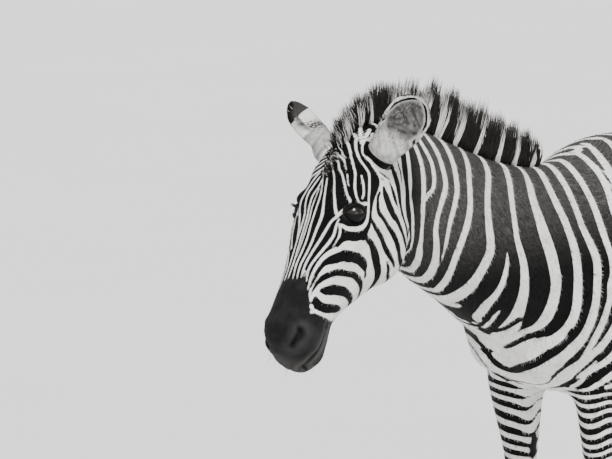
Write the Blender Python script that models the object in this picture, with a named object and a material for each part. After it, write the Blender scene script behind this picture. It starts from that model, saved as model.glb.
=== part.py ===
"""A plains zebra standing at rest, life size, with its head hanging.

Metres, +Z up. The animal faces -Y and its left side is +X. While it is modelled, the withers are over
y = 0 and the hooves stand at z = 0. At the end everything is moved so that the origin is the middle of
the floor under the animal.

The trunk, neck, head and legs are lofted from oval sections and built up with muscles, melted into one
body, and then parted with thin cuts. Eyes, ears, mane, tail and hooves are pieces of their own.
"""

import math

import bmesh
import bpy
from mathutils import Matrix, Vector

GAP = 0.0003  # between neighbouring pieces
SECTION_SIDES = 28  # points round each oval section
FORM_VOXEL = 0.0125  # grain of the melted body
FORM_SMOOTHING = 6  # rounds that soften the joins between muscles
TORSO_SMOOTHING = 30  # further rounds on the trunk and the neck
TORSO_FADE = 0.16  # over which those rounds die out towards the head and the legs
TORSO_FRONT = -0.800
TORSO_FLOOR = 0.600
HEAD_TRIANGLES = 1900
BODY_TRIANGLES = 3300

# The head has a frame of its own, from the poll: x to the left, y out of the forehead, z down the face.
POLL = Vector((-0.030, -0.870, 1.385))
HEAD_PITCH = math.radians(57)  # how far the face's line points below the horizon
HEAD_YAW = math.radians(-6)  # turned a little to its right
HEAD_ROLL = math.radians(-5)

EYE_RADIUS = 0.0215
EYE_PLACE = Vector((0.0740, -0.022, 0.179))

EAR_LENGTH = 0.170
EAR_ROOT = Vector((0.058, -0.056, 0.038))
EAR_POINTS = Vector((0.68, 0.31, -0.665))  # the left ear's own direction, mirrored for the right one
# Each ear turns by itself
EAR_FACES = {"left": Vector((0.43, 0.63, 0.65)), "right": Vector((-0.68, -0.34, 0.57))}
EAR_SIDES = 14
# Down the ear: share of its length, half width, half depth
EAR = (
    (0.00, 0.028, 0.028),
    (0.18, 0.030, 0.030),
    (0.38, 0.037, 0.034),
    (0.58, 0.042, 0.033),
    (0.78, 0.038, 0.027),
    (0.92, 0.024, 0.017),
    (0.99, 0.010, 0.008),
)
EAR_HOLLOW_SIZE = 0.82  # of the ear's own width and length
EAR_HOLLOW_SHIFT = (0.016, 0.012)  # towards the opening, and towards the tip

HOOF_HEIGHT = 0.062
HOOF_HALF_LENGTH = 0.056
HOOF_HALF_WIDTH = 0.046
HOOF_CROWN = 0.005  # how far the hoof's upper rim stands out round the leg
HOOF_SLOPE = 0.020  # how far the sole lies in front of the crown
HOOF_SIDES = 18

COAT = {"rough": 0.75, "metal": 0.0}

# Sections across the trunk, from the breast to the buttocks:
# y, height of the back, height of the belly, half width, height of the widest part, roundness above, below
TRUNK = (
    (-0.305, 1.000, 0.850, 0.070, 0.920, 2.0, 2.0),
    (-0.270, 1.060, 0.790, 0.128, 0.920, 2.0, 2.2),
    (-0.205, 1.125, 0.730, 0.165, 0.930, 2.0, 2.3),
    (-0.110, 1.190, 0.690, 0.188, 0.945, 1.8, 2.3),
    (0.000, 1.240, 0.673, 0.204, 0.950, 1.7, 2.2),
    (0.140, 1.262, 0.666, 0.226, 0.945, 1.8, 2.1),
    (0.300, 1.250, 0.656, 0.255, 0.930, 2.0, 2.1),
    (0.450, 1.240, 0.652, 0.272, 0.925, 2.1, 2.1),
    (0.580, 1.248, 0.666, 0.268, 0.945, 2.1, 2.1),
    (0.700, 1.270, 0.715, 0.250, 0.985, 2.1, 2.1),
    (0.800, 1.282, 0.770, 0.238, 1.020, 2.1, 2.0),
    (0.900, 1.258, 0.800, 0.218, 1.030, 2.1, 2.0),
    (0.980, 1.200, 0.830, 0.170, 1.030, 2.1, 2.0),
    (1.030, 1.120, 0.900, 0.090, 1.010, 2.0, 2.0),
)

# Sections across the neck. Each plane holds a point of the crest and one of the throat line:
# crest y, crest z, throat y, throat z, half width
NECK = (
    (0.100, 1.238, -0.100, 0.760, 0.175),
    (-0.090, 1.226, -0.300, 0.830, 0.155),
    (-0.215, 1.236, -0.400, 0.885, 0.135),
    (-0.355, 1.270, -0.480, 0.938, 0.118),
    (-0.490, 1.318, -0.570, 0.990, 0.104),
    (-0.615, 1.366, -0.655, 1.042, 0.093),
    (-0.745, 1.402, -0.740, 1.115, 0.082),
    (-0.840, 1.394, -0.805, 1.190, 0.066),
)

# Sections across the head, in its own frame:
# z, y of the face line, y of the jaw line, half width, y of the widest part, roundness above, below
HEAD = (
    (-0.040, -0.040, -0.150, 0.056, -0.090, 2.0, 2.0),
    (0.000, -0.012, -0.190, 0.064, -0.085, 2.1, 2.0),
    (0.050, 0.004, -0.225, 0.072, -0.075, 2.3, 2.0),
    (0.100, 0.011, -0.245, 0.082, -0.062, 2.5, 1.9),
    (0.150, 0.012, -0.254, 0.092, -0.054, 2.6, 1.8),
    (0.190, 0.010, -0.252, 0.094, -0.054, 2.6, 1.75),
    (0.230, 0.008, -0.240, 0.088, -0.056, 2.6, 1.8),
    (0.280, 0.007, -0.200, 0.077, -0.058, 2.6, 2.0),
    (0.330, 0.008, -0.160, 0.067, -0.056, 2.6, 2.2),
    (0.385, 0.013, -0.120, 0.062, -0.048, 2.5, 2.2),
    (0.430, 0.014, -0.114, 0.059, -0.046, 2.4, 2.2),
    (0.462, 0.008, -0.118, 0.055, -0.054, 2.3, 2.2),
    (0.490, -0.014, -0.116, 0.045, -0.064, 2.2, 2.2),
    (0.510, -0.044, -0.100, 0.028, -0.072, 2.0, 2.0),
)

# Stations down each leg: y, z, x of the middle, half length fore and aft, half width
FORELEG = (
    (0.010, 0.860, 0.130, 0.112, 0.070),
    (-0.008, 0.770, 0.126, 0.106, 0.066),
    (-0.028, 0.690, 0.118, 0.095, 0.060),
    (-0.026, 0.600, 0.113, 0.070, 0.050),
    (-0.020, 0.510, 0.109, 0.050, 0.040),
    (-0.024, 0.450, 0.107, 0.042, 0.036),
    (-0.028, 0.405, 0.106, 0.041, 0.036),
    (-0.026, 0.355, 0.104, 0.031, 0.028),
    (-0.022, 0.270, 0.102, 0.0275, 0.0215),
    (-0.024, 0.190, 0.101, 0.028, 0.0225),
    (-0.030, 0.158, 0.101, 0.034, 0.028),
    (-0.044, 0.115, 0.101, 0.027, 0.026),
    (-0.057, 0.085, 0.101, 0.030, 0.030),
    (-0.066, 0.056, 0.101, 0.035, 0.034),
)
HINDLEG = (
    (0.830, 1.080, 0.140, 0.180, 0.090),
    (0.820, 0.960, 0.155, 0.185, 0.092),
    (0.800, 0.840, 0.160, 0.160, 0.080),
    (0.805, 0.740, 0.150, 0.120, 0.064),
    (0.845, 0.640, 0.134, 0.082, 0.050),
    (0.905, 0.550, 0.122, 0.054, 0.037),
    (0.945, 0.480, 0.117, 0.047, 0.033),
    (0.950, 0.430, 0.116, 0.043, 0.034),
    (0.938, 0.380, 0.115, 0.033, 0.027),
    (0.925, 0.300, 0.114, 0.027, 0.022),
    (0.912, 0.200, 0.113, 0.028, 0.023),
    (0.904, 0.160, 0.113, 0.034, 0.028),
    (0.886, 0.115, 0.113, 0.027, 0.026),
    (0.872, 0.085, 0.113, 0.030, 0.030),
    (0.862, 0.056, 0.113, 0.035, 0.034),
)

# Muscles and bones that stand proud, on both sides: middle, half sizes, lean about X in degrees
BODY_SWELLINGS = (
    ((0.098, -0.020, 0.985), (0.085, 0.120, 0.165), 14),  # shoulder blade
    ((0.112, -0.160, 0.890), (0.066, 0.090, 0.095), 0),  # point of the shoulder
    ((0.062, -0.215, 0.850), (0.070, 0.075, 0.110), -10),  # breast
    ((0.130, 0.055, 0.780), (0.055, 0.072, 0.080), 0),  # elbow
    ((0.112, -0.030, 0.640), (0.050, 0.056, 0.110), 4),  # forearm
    ((0.150, 0.800, 0.950), (0.094, 0.190, 0.190), -12),  # thigh
    ((0.120, 0.940, 0.920), (0.080, 0.080, 0.170), 8),  # buttock
    ((0.155, 0.700, 0.800), (0.066, 0.085, 0.100), 30),  # stifle
    ((0.155, 0.705, 1.135), (0.070, 0.130, 0.085), 0),  # point of the hip
)
# The same on the head, in its own frame
HEAD_SWELLINGS = (
    ((0.046, -0.165, 0.185), (0.038, 0.078, 0.090), 0),  # cheek muscle
    ((0.064, -0.028, 0.172), (0.026, 0.036, 0.052), 0),  # brow and cheekbone
    ((0.062, -0.080, 0.235), (0.018, 0.018, 0.070), -8),  # ridge under the eye
    ((0.036, -0.034, 0.446), (0.022, 0.034, 0.040), 0),  # nostril wing
    ((0.014, -0.104, 0.466), (0.024, 0.020, 0.030), 0),  # lower lip and chin
)

# The mane's ridge along the crest, from the forelock to the withers:
# y, z at the root, height of the hair, half width at the root
MANE = (
    (-0.913, 1.352, 0.026, 0.013),
    (-0.905, 1.375, 0.048, 0.018),
    (-0.870, 1.397, 0.064, 0.021),
    (-0.795, 1.410, 0.078, 0.022),
    (-0.680, 1.393, 0.086, 0.021),
    (-0.550, 1.347, 0.088, 0.020),
    (-0.410, 1.296, 0.083, 0.019),
    (-0.300, 1.260, 0.074, 0.017),
    (-0.200, 1.240, 0.060, 0.014),
    (-0.140, 1.235, 0.036, 0.010),
)
MANE_SINK = 0.030  # how deep the ridge starts under the skin, before it is trimmed
MANE_SPANS = 3  # steps of the ragged top edge between two rows
MANE_HEIGHT = max(row[2] for row in MANE)
MANE_RAG = 0.014  # how far the tallest lock stands over the gap beside it
MANE_BOTTOM = 0.004  # half the thickness of its lower edge
MANE_SIDES = 8

TAIL_SIDES = 10
# The tail: y, z, half thickness. The brush of long hair follows the dock.
DOCK = (
    (0.990, 1.185, 0.036),
    (1.030, 1.172, 0.031),
    (1.064, 1.120, 0.025),
    (1.082, 1.030, 0.021),
    (1.092, 0.920, 0.018),
    (1.098, 0.820, 0.016),
)
BRUSH = (
    (1.098, 0.8194, 0.016),
    (1.103, 0.740, 0.028),
    (1.106, 0.640, 0.037),
    (1.105, 0.560, 0.036),
    (1.101, 0.480, 0.024),
    (1.098, 0.430, 0.009),
)


def clear_scene():
    for old in list(bpy.data.objects):
        bpy.data.objects.remove(old, do_unlink=True)


def material(name, colour, rough=COAT["rough"], metal=COAT["metal"]):
    made = bpy.data.materials.new(name)
    made.use_nodes = True
    shader = made.node_tree.nodes["Principled BSDF"]
    shader.inputs["Base Color"].default_value = (*colour, 1.0)
    shader.inputs["Roughness"].default_value = rough
    shader.inputs["Metallic"].default_value = metal
    return made


def between(stations, spans):
    """The stations with more of them on a smooth curve between, so that each gap becomes `spans` gaps."""
    found = []
    last = len(stations) - 1
    for i in range(last):
        before, start = stations[max(i - 1, 0)], stations[i]
        end, after = stations[i + 1], stations[min(i + 2, last)]
        for step in range(spans):
            t = step / spans
            found.append(tuple(catmull_rom(*values, t) for values in zip(before, start, end, after)))
    found.append(stations[-1])
    return found


def catmull_rom(before, start, end, after, t):
    return 0.5 * (
        2 * start
        + (end - before) * t
        + (2 * before - 5 * start + 4 * end - after) * t**2
        + (3 * start - before - 3 * end + after) * t**3
    )


def frame(side, up, origin):
    """A matrix whose x is side, whose y is up and whose z is across both."""
    side = side.normalized()
    along = side.cross(up).normalized()
    up = along.cross(side)
    return Matrix.Translation(origin) @ Matrix((side, up, along)).transposed().to_4x4()


def oval(bm, place, half_width, top, bottom, round_top=2.0, round_bottom=2.0, sides=SECTION_SIDES):
    """One section: a ring whose upper and lower halves have their own reach and roundness."""
    ring = bmesh.ops.create_circle(bm, segments=sides, radius=1.0)["verts"]
    for vert in ring:
        across, up = vert.co.x, vert.co.y
        power = 2 / (round_top if up > 0 else round_bottom)
        reach = top if up > 0 else bottom
        vert.co = place @ Vector(
            (
                half_width * math.copysign(abs(across) ** power, across),
                reach * math.copysign(abs(up) ** power, up),
                0,
            )
        )
    return ring


def skin_over(bm, rings):
    """Bridges each ring to the next one and closes both ends."""
    loops = [{edge for vert in ring for edge in vert.link_edges} for ring in rings]
    for loop, following in zip(loops, loops[1:]):
        bmesh.ops.bridge_loops(bm, edges=list(loop | following))
    for loop in (loops[0], loops[-1]):
        bmesh.ops.contextual_create(bm, geom=list(loop))


def lofted(sections):
    """A closed mesh over sections, each a dictionary of what oval() takes."""
    bm = bmesh.new()
    skin_over(bm, [set(oval(bm, **section)) for section in sections])
    bmesh.ops.recalc_face_normals(bm, faces=bm.faces)
    if bm.calc_volume(signed=True) < 0:
        bmesh.ops.reverse_faces(bm, faces=bm.faces)
    mesh = bpy.data.meshes.new("loft")
    bm.to_mesh(mesh)
    bm.free()
    return mesh


def trunk_sections():
    for y, top, bottom, half_width, widest, round_top, round_bottom in between(TRUNK, 2):
        yield {
            "place": frame(Vector((1, 0, 0)), Vector((0, 0, 1)), Vector((0, y, widest))),
            "half_width": half_width,
            "top": top - widest,
            "bottom": widest - bottom,
            "round_top": round_top,
            "round_bottom": round_bottom,
        }


def neck_sections():
    for crest_y, crest_z, throat_y, throat_z, half_width in between(NECK, 3):
        crest = Vector((0, crest_y, crest_z))
        throat = Vector((0, throat_y, throat_z))
        drift = Vector((POLL.x * max(0.0, crest_y / POLL.y) ** 2, 0, 0))
        depth = (crest - throat).length
        widest = 0.56 * depth  # the neck is fuller below its middle
        yield {
            "place": frame(Vector((1, 0, 0)), crest - throat, crest.lerp(throat, 0.56) + drift),
            "half_width": half_width,
            "top": widest,
            "bottom": depth - widest,
            "round_top": 1.75,
            "round_bottom": 2.1,
        }


def head_frame():
    return (
        Matrix.Translation(POLL)
        @ Matrix.Rotation(HEAD_YAW, 4, "Z")
        @ Matrix.Rotation(HEAD_ROLL, 4, "Y")
        @ Matrix.Rotation(math.pi / 2 + HEAD_PITCH, 4, "X")
    )


def head_sections():
    for z, top, bottom, half_width, widest, round_top, round_bottom in between(HEAD, 3):
        yield {
            "place": head_frame() @ Matrix.Translation((0, widest, z)),
            "half_width": half_width,
            "top": top - widest,
            "bottom": widest - bottom,
            "round_top": round_top,
            "round_bottom": round_bottom,
        }


def leg_sections(stations, side):
    for y, z, x, half_length, half_width in between(stations, 3):
        yield {
            "place": frame(Vector((1, 0, 0)), Vector((0, -1, 0)), Vector((side * x, y, z))),
            "half_width": half_width,
            "top": half_length,
            "bottom": half_length,
        }


def tail_sections(stations, spans):
    points = between(stations, spans)
    for i, (y, z, thickness) in enumerate(points):
        before, after = points[max(i - 1, 0)], points[min(i + 1, len(points) - 1)]
        along = Vector((0, after[0] - before[0], after[1] - before[1]))
        up = Vector((1, 0, 0)).cross(along)
        yield {
            "place": frame(Vector((1, 0, 0)), up, Vector((0, y, z))),
            "half_width": thickness,
            "top": thickness,
            "bottom": thickness,
            "sides": TAIL_SIDES,
        }


def swelling(bm, place, middle, half_sizes, lean):
    shape = (
        place
        @ Matrix.Translation(middle)
        @ Matrix.Rotation(math.radians(lean), 4, "X")
        @ Matrix.Diagonal((*half_sizes, 1.0))
    )
    bmesh.ops.create_icosphere(bm, subdivisions=3, radius=1.0, matrix=shape)


def swellings_mesh():
    bm = bmesh.new()
    for side in (1, -1):
        mirror = Vector((side, 1, 1))
        for middle, half_sizes, lean in BODY_SWELLINGS:
            swelling(bm, Matrix.Identity(4), Vector(middle) * mirror, half_sizes, lean)
        for middle, half_sizes, lean in HEAD_SWELLINGS:
            swelling(bm, head_frame(), Vector(middle) * mirror, half_sizes, lean)
    mesh = bpy.data.meshes.new("swellings")
    bm.to_mesh(mesh)
    bm.free()
    return mesh


def add_object(name, mesh, finish=None):
    made = bpy.data.objects.new(name, mesh)
    bpy.context.scene.collection.objects.link(made)
    if finish:
        mesh.materials.clear()
        mesh.materials.append(finish)
    return made


def hide(helper):
    helper.hide_render = True
    helper.display_type = "WIRE"


def settled(obj):
    """The object's shape with its modifiers applied, as a new mesh."""
    bpy.context.view_layer.update()
    evaluated = obj.evaluated_get(bpy.context.evaluated_depsgraph_get())
    return bpy.data.meshes.new_from_object(evaluated)


def whole_body():
    """Every loft and swelling of the flesh, melted into one closed form."""
    bm = bmesh.new()
    pieces = [lofted(trunk_sections()), lofted(neck_sections()), lofted(head_sections()), swellings_mesh()]
    for side in (1, -1):
        pieces += [lofted(leg_sections(FORELEG, side)), lofted(leg_sections(HINDLEG, side))]
    for mesh in pieces:
        bm.from_mesh(mesh)
    mesh = bpy.data.meshes.new("form")
    bm.to_mesh(mesh)
    bm.free()
    form = add_object("form", mesh)
    melt = form.modifiers.new("melt", "REMESH")
    melt.mode = "VOXEL"
    melt.voxel_size = FORM_VOXEL
    soften = form.modifiers.new("soften", "SMOOTH")
    soften.factor = 0.5
    soften.iterations = FORM_SMOOTHING
    melted = add_object("melted", settled(form))
    bpy.data.objects.remove(form)
    smooth_torso(melted)
    lighten(melted)
    return melted


def smooth_torso(melted):
    """Softens the muscles of the trunk and neck more than the fine forms of head and legs."""
    group = melted.vertex_groups.new(name="torso")
    for vert in melted.data.vertices:
        share = min((vert.co.y - TORSO_FRONT) / TORSO_FADE, (vert.co.z - TORSO_FLOOR) / TORSO_FADE, 1.0)
        if share > 0:
            group.add([vert.index], share, "REPLACE")
    soften = melted.modifiers.new("soften_torso", "SMOOTH")
    soften.vertex_group = group.name
    soften.factor = 0.5
    soften.iterations = TORSO_SMOOTHING
    melted.data = settled(melted)
    melted.modifiers.clear()
    melted.vertex_groups.clear()


def lighten(melted):
    """Fewer triangles, with the head kept finer than the rest."""
    point, normal = HEAD_CUT
    for in_head, wanted in ((True, HEAD_TRIANGLES), (False, BODY_TRIANGLES)):
        members = [v.index for v in melted.data.vertices if ((v.co - point).dot(normal) > 0) == in_head]
        group = melted.vertex_groups.new(name="part")
        group.add(members, 1.0, "REPLACE")
        fewer = melted.modifiers.new("lighten", "DECIMATE")
        fewer.vertex_group = group.name
        triangles_per_point = 2
        fewer.ratio = 1 - (len(members) - wanted / triangles_per_point) / len(melted.data.vertices)
        melted.data = settled(melted)
        melted.modifiers.clear()
        melted.vertex_groups.clear()


# Planes that part the body: a point, and the side that faces forward
HEAD_CUT = (Vector((0, -0.780, 1.26)), Vector((0, -0.955, 0.295)))
NECK_CUT = (Vector((0, -0.150, 1.08)), Vector((0, -0.86, 0.51)))


def cut_away(mesh, plane, keep_front):
    """What is left of a closed mesh on one side of a plane, closed again with a flat face."""
    point, normal = plane
    normal = normal.normalized()
    side = 1 if keep_front else -1
    bm = bmesh.new()
    bm.from_mesh(mesh)
    bmesh.ops.bisect_plane(
        bm,
        geom=bm.verts[:] + bm.edges[:] + bm.faces[:],
        plane_co=point + side * normal * GAP / 2,
        plane_no=normal,
        clear_inner=keep_front,
        clear_outer=not keep_front,
    )
    bmesh.ops.contextual_create(bm, geom=[e for e in bm.edges if e.is_boundary])
    bmesh.ops.triangulate(bm, faces=[f for f in bm.faces if len(f.verts) > 4])
    bmesh.ops.recalc_face_normals(bm, faces=bm.faces)
    kept = bpy.data.meshes.new("kept")
    bm.to_mesh(kept)
    bm.free()
    return kept


def wedge(name, side, front, rear, inner_top, slope, grow):
    """A cutter from the midline out to one side and from front to rear. Its top rises outwards by slope."""
    reach = 0.6
    depth = 0.2
    bm = bmesh.new()
    bmesh.ops.create_cube(bm, size=1.0)
    for vert in bm.verts:
        outer = vert.co.x > 0
        x = reach if outer else -grow
        y = rear + grow if vert.co.y > 0 else front - grow
        z = inner_top + grow + slope * x if vert.co.z > 0 else -depth
        vert.co = (side * x, y, z)
    bmesh.ops.recalc_face_normals(bm, faces=bm.faces)
    mesh = bpy.data.meshes.new(name)
    bm.to_mesh(mesh)
    bm.free()
    made = add_object(name, mesh)
    hide(made)
    return made


def boolean(obj, other, operation="DIFFERENCE"):
    step = obj.modifiers.new(operation.lower(), "BOOLEAN")
    step.operation = operation
    step.solver = "EXACT"
    step.object = other
    return step


# Each leg is what of the body lies in its own wedge: front, rear, height of the wedge at the midline
LEG_WEDGES = {"foreleg": (-0.185, 0.150, 0.665), "hindleg": (0.640, 1.250, 0.690)}
LEG_SLOPE = math.tan(math.radians(40))


def part_legs(rear_mesh, coat):
    """Cuts the four legs off what is left of the body. The rest is the trunk."""
    trunk = add_object("trunk", rear_mesh, coat)
    for leg, (front, rear, top) in LEG_WEDGES.items():
        for name, side in (("left", 1), ("right", -1)):
            inside = wedge(f"{leg}_{name}_inside", side, front, rear, top, LEG_SLOPE, -GAP / 2)
            outside = wedge(f"{leg}_{name}_outside", side, front, rear, top, LEG_SLOPE, GAP / 2)
            limb = add_object(f"{leg}_{name}", rear_mesh.copy(), coat)
            boolean(limb, inside, "INTERSECT")
            boolean(trunk, outside)


def ear_mesh(name, side):
    """The ear's outer form, with the directions it points and faces in."""
    turn = head_frame().to_3x3()
    up = (turn @ (EAR_POINTS * Vector((side, 1, 1)))).normalized()
    across = up.cross(turn @ EAR_FACES[name]).normalized()
    faces = across.cross(up)
    root = head_frame() @ (EAR_ROOT * Vector((side, 1, 1)))
    sections = [
        {
            "place": frame(across, faces, root + up * EAR_LENGTH * share),
            "half_width": half_width,
            "top": half_depth,
            "bottom": half_depth,
            "sides": EAR_SIDES,
        }
        for share, half_width, half_depth in EAR
    ]
    return lofted(sections), up, across, faces


def ear(name, side, coat, clearance):
    """An ear with its cup hollowed out by a smaller copy of itself."""
    outer, up, across, faces = ear_mesh(name, side)
    made = add_object("ear_" + name, outer, coat)
    hollow = add_object("ear_hollow_" + name, outer.copy())
    hollow.data.materials.clear()
    middle = sum((v.co for v in outer.vertices), Vector()) / len(outer.vertices)
    to_opening, to_tip = EAR_HOLLOW_SHIFT
    hollow.data.transform(Matrix.Translation(-middle))
    for direction in (up, across):
        hollow.data.transform(Matrix.Scale(EAR_HOLLOW_SIZE, 4, direction))
    hollow.data.transform(Matrix.Translation(middle + faces * to_opening + up * to_tip))
    hide(hollow)
    boolean(made, hollow)
    boolean(made, clearance)


def eye(name, side, iris):
    bm = bmesh.new()
    bmesh.ops.create_icosphere(bm, subdivisions=2, radius=EYE_RADIUS)
    mesh = bpy.data.meshes.new(name)
    bm.to_mesh(mesh)
    bm.free()
    made = add_object(name, mesh, iris)
    made.matrix_world = head_frame() @ Matrix.Translation(EYE_PLACE * Vector((side, 1, 1)))
    socket = add_object(name + "_socket", mesh.copy())
    socket.data.materials.clear()
    socket.matrix_world = made.matrix_world @ Matrix.Scale(1 + 2.5 * GAP / EYE_RADIUS, 4)
    hide(socket)
    return socket


def mane(coat, clearance):
    """A standing ridge of hair with a ragged top, trimmed to the neck and head it grows from."""
    stations = between(MANE, MANE_SPANS)
    sections = []
    for i, (y, z, height, half_width) in enumerate(stations):
        before, after = stations[max(i - 1, 0)], stations[min(i + 1, len(stations) - 1)]
        along = Vector((0, after[0] - before[0], after[1] - before[1]))
        up = Vector((1, 0, 0)).cross(along).normalized()
        drift = Vector((POLL.x * max(0.0, y / POLL.y) ** 2, 0, 0))
        ragged = height * (1 - MANE_RAG / MANE_HEIGHT * (i % 2))
        sections.append(
            {
                "place": frame(Vector((1, 0, 0)), up, Vector((0, y, z)) + drift - up * MANE_SINK),
                "half_width": half_width,
                "top": MANE_SINK + ragged,
                "bottom": MANE_BOTTOM,
                "round_top": 1.5,
                "sides": MANE_SIDES,
            }
        )
    made = add_object("mane", lofted(sections), coat)
    boolean(made, clearance)
    return made


def hoof(name, station, side, horn):
    """A hoof: a flat-soled, forward-sloping cone, with a hollow at its heel left solid."""
    y, x = station[0], side * station[2]
    # height, half length, half width, how far it is pushed forward
    profile = (
        (0.0, HOOF_HALF_LENGTH, HOOF_HALF_WIDTH, HOOF_SLOPE),
        (0.4 * HOOF_HEIGHT, 0.88 * HOOF_HALF_LENGTH, 0.93 * HOOF_HALF_WIDTH, 0.65 * HOOF_SLOPE),
        (HOOF_HEIGHT, station[3] + HOOF_CROWN, station[4] + HOOF_CROWN, 0.0),
    )
    sections = [
        {
            "place": frame(Vector((1, 0, 0)), Vector((0, -1, 0)), Vector((x, y - push, height))),
            "half_width": half_width,
            "top": half_length,
            "bottom": half_length * 0.86,
            "round_bottom": 2.8,
            "sides": HOOF_SIDES,
        }
        for height, half_length, half_width, push in profile
    ]
    return add_object(name, lofted(sections), horn)


def grown(mesh, name, by):
    """A hidden copy pushed out along its normals, to trim neighbours with a gap."""
    made = add_object(name, mesh.copy())
    push = made.modifiers.new("push", "DISPLACE")
    push.strength = by
    push.mid_level = 0.0
    made.data = settled(made)
    made.modifiers.clear()
    hide(made)
    return made


def build():
    clear_scene()
    coat = material("coat", (0.42, 0.41, 0.40))
    dark_hair = material("dark_hair", (0.05, 0.045, 0.04))
    horn = material("horn", (0.06, 0.055, 0.05), rough=0.5)
    wet_eye = material("eye", (0.02, 0.015, 0.012), rough=0.1)

    melted = whole_body()
    clearance = grown(melted.data, "body_clearance", 3 * GAP)
    head = add_object("head", cut_away(melted.data, HEAD_CUT, True), coat)
    behind_head = cut_away(melted.data, HEAD_CUT, False)
    add_object("neck", cut_away(behind_head, NECK_CUT, True), coat)
    part_legs(cut_away(behind_head, NECK_CUT, False), coat)
    bpy.data.objects.remove(melted)

    for name, side in (("left", 1), ("right", -1)):
        boolean(head, eye("eye_" + name, side, wet_eye))
        ear(name, side, coat, clearance)
        for leg, stations in (("fore", FORELEG), ("hind", HINDLEG)):
            made = hoof(f"hoof_{leg}_{name}", stations[-1], side, horn)
            room = grown(made.data, f"hoof_{leg}_{name}_room", GAP)
            boolean(bpy.data.objects[f"{leg}leg_{name}"], room)
    mane(dark_hair, clearance)

    dock = add_object("tail", lofted(tail_sections(DOCK, 2)), coat)
    boolean(dock, clearance)
    add_object("tail_brush", lofted(tail_sections(BRUSH, 2)), dark_hair)
    centre_on_floor()


def centre_on_floor():
    """Moves everything so that the origin is the middle of the box round the shown pieces, on the floor."""
    bpy.context.view_layer.update()
    graph = bpy.context.evaluated_depsgraph_get()
    corners = [
        obj.matrix_world @ Vector(corner)
        for obj in bpy.data.objects
        if not obj.hide_render
        for corner in obj.evaluated_get(graph).bound_box
    ]
    shift = [-(min(c[k] for c in corners) + max(c[k] for c in corners)) / 2 for k in (0, 1)]
    for obj in bpy.data.objects:
        obj.matrix_world = Matrix.Translation((*shift, 0)) @ obj.matrix_world


build()
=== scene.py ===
import math

import bmesh
import bpy
import numpy as np
from mathutils import Matrix, Vector
from mathutils.bvhtree import BVHTree
from mathutils.kdtree import KDTree


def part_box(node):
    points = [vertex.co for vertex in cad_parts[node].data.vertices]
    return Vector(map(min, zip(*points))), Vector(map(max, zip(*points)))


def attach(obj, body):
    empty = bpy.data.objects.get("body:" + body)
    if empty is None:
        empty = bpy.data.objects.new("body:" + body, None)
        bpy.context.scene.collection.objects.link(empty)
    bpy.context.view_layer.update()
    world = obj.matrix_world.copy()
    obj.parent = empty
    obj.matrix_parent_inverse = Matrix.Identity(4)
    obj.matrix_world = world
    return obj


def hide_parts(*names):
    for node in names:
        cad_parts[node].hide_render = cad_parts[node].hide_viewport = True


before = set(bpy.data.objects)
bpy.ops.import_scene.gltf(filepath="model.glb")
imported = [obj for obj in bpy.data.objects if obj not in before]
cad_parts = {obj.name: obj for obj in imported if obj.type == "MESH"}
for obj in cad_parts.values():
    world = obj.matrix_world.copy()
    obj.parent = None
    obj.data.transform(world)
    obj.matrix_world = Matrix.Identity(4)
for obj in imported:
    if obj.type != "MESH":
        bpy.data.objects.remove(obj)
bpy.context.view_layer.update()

rng = np.random.default_rng(11)
tau = math.tau

# the head's own frame: x to the animal's left, y out of the forehead, z down the face
headPlace = dict(poll=(-0.0303, -0.8773, 1.3850), turn=-6, lean=-5, nod=147)
headFrame = (Matrix.Translation(headPlace["poll"])
             @ Matrix.Rotation(math.radians(headPlace["turn"]), 4, "Z")
             @ Matrix.Rotation(math.radians(headPlace["lean"]), 4, "Y")
             @ Matrix.Rotation(math.radians(headPlace["nod"]), 4, "X"))
headInverse = np.array(headFrame.inverted())


# small helpers

def smoothStep(value, low, high):
    share = np.clip((np.asarray(value, float) - low) / (high - low), 0, 1)
    return share * share * (3 - 2 * share)


def inHead(points):
    return points @ headInverse[:3, :3].T + headInverse[:3, 3]


def pointsOf(mesh):
    co = np.empty(len(mesh.vertices) * 3, np.float32)
    mesh.vertices.foreach_get("co", co)
    return co.reshape(-1, 3).astype(float)


def normalsOf(mesh):
    no = np.empty(len(mesh.vertices) * 3, np.float32)
    mesh.vertex_normals.foreach_get("vector", no)
    return no.reshape(-1, 3).astype(float)


def setPoints(mesh, points):
    mesh.vertices.foreach_set("co", points.astype(np.float32).ravel())
    mesh.update()


def floatLayer(mesh, name, values):
    layer = mesh.attributes.get(name) or mesh.attributes.new(name, "FLOAT", "POINT")
    layer.data.foreach_set("value", np.asarray(values, np.float32).ravel())


def vectorLayer(mesh, name, values):
    layer = mesh.attributes.get(name) or mesh.attributes.new(name, "FLOAT_VECTOR", "POINT")
    layer.data.foreach_set("vector", np.asarray(values, np.float32).ravel())


def addPiece(name, mesh):
    piece = bpy.data.objects.new(name, mesh)
    bpy.context.collection.objects.link(piece)
    return piece


def pieceFromBmesh(name, bm):
    mesh = bpy.data.meshes.new(name)
    bm.to_mesh(mesh)
    bm.free()
    mesh.shade_smooth()
    return addPiece(name, mesh)


def applyModifiers(piece):
    graph = bpy.context.evaluated_depsgraph_get()
    graph.update()
    made = bpy.data.meshes.new_from_object(piece.evaluated_get(graph))
    piece.modifiers.clear()
    old = piece.data
    piece.data = made
    bpy.data.meshes.remove(old)
    made.name = piece.name


def meshFromArrays(name, verts, faces, corners):
    # faces holds vertex numbers, corners the number of them in each face
    mesh = bpy.data.meshes.new(name)
    mesh.vertices.add(len(verts))
    mesh.vertices.foreach_set("co", verts.astype(np.float32).ravel())
    mesh.loops.add(faces.size)
    mesh.loops.foreach_set("vertex_index", faces.ravel().astype(np.int32))
    count = faces.size // corners
    mesh.polygons.add(count)
    mesh.polygons.foreach_set("loop_start", (np.arange(count) * corners).astype(np.int32))
    mesh.update(calc_edges=True)
    return mesh


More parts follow.
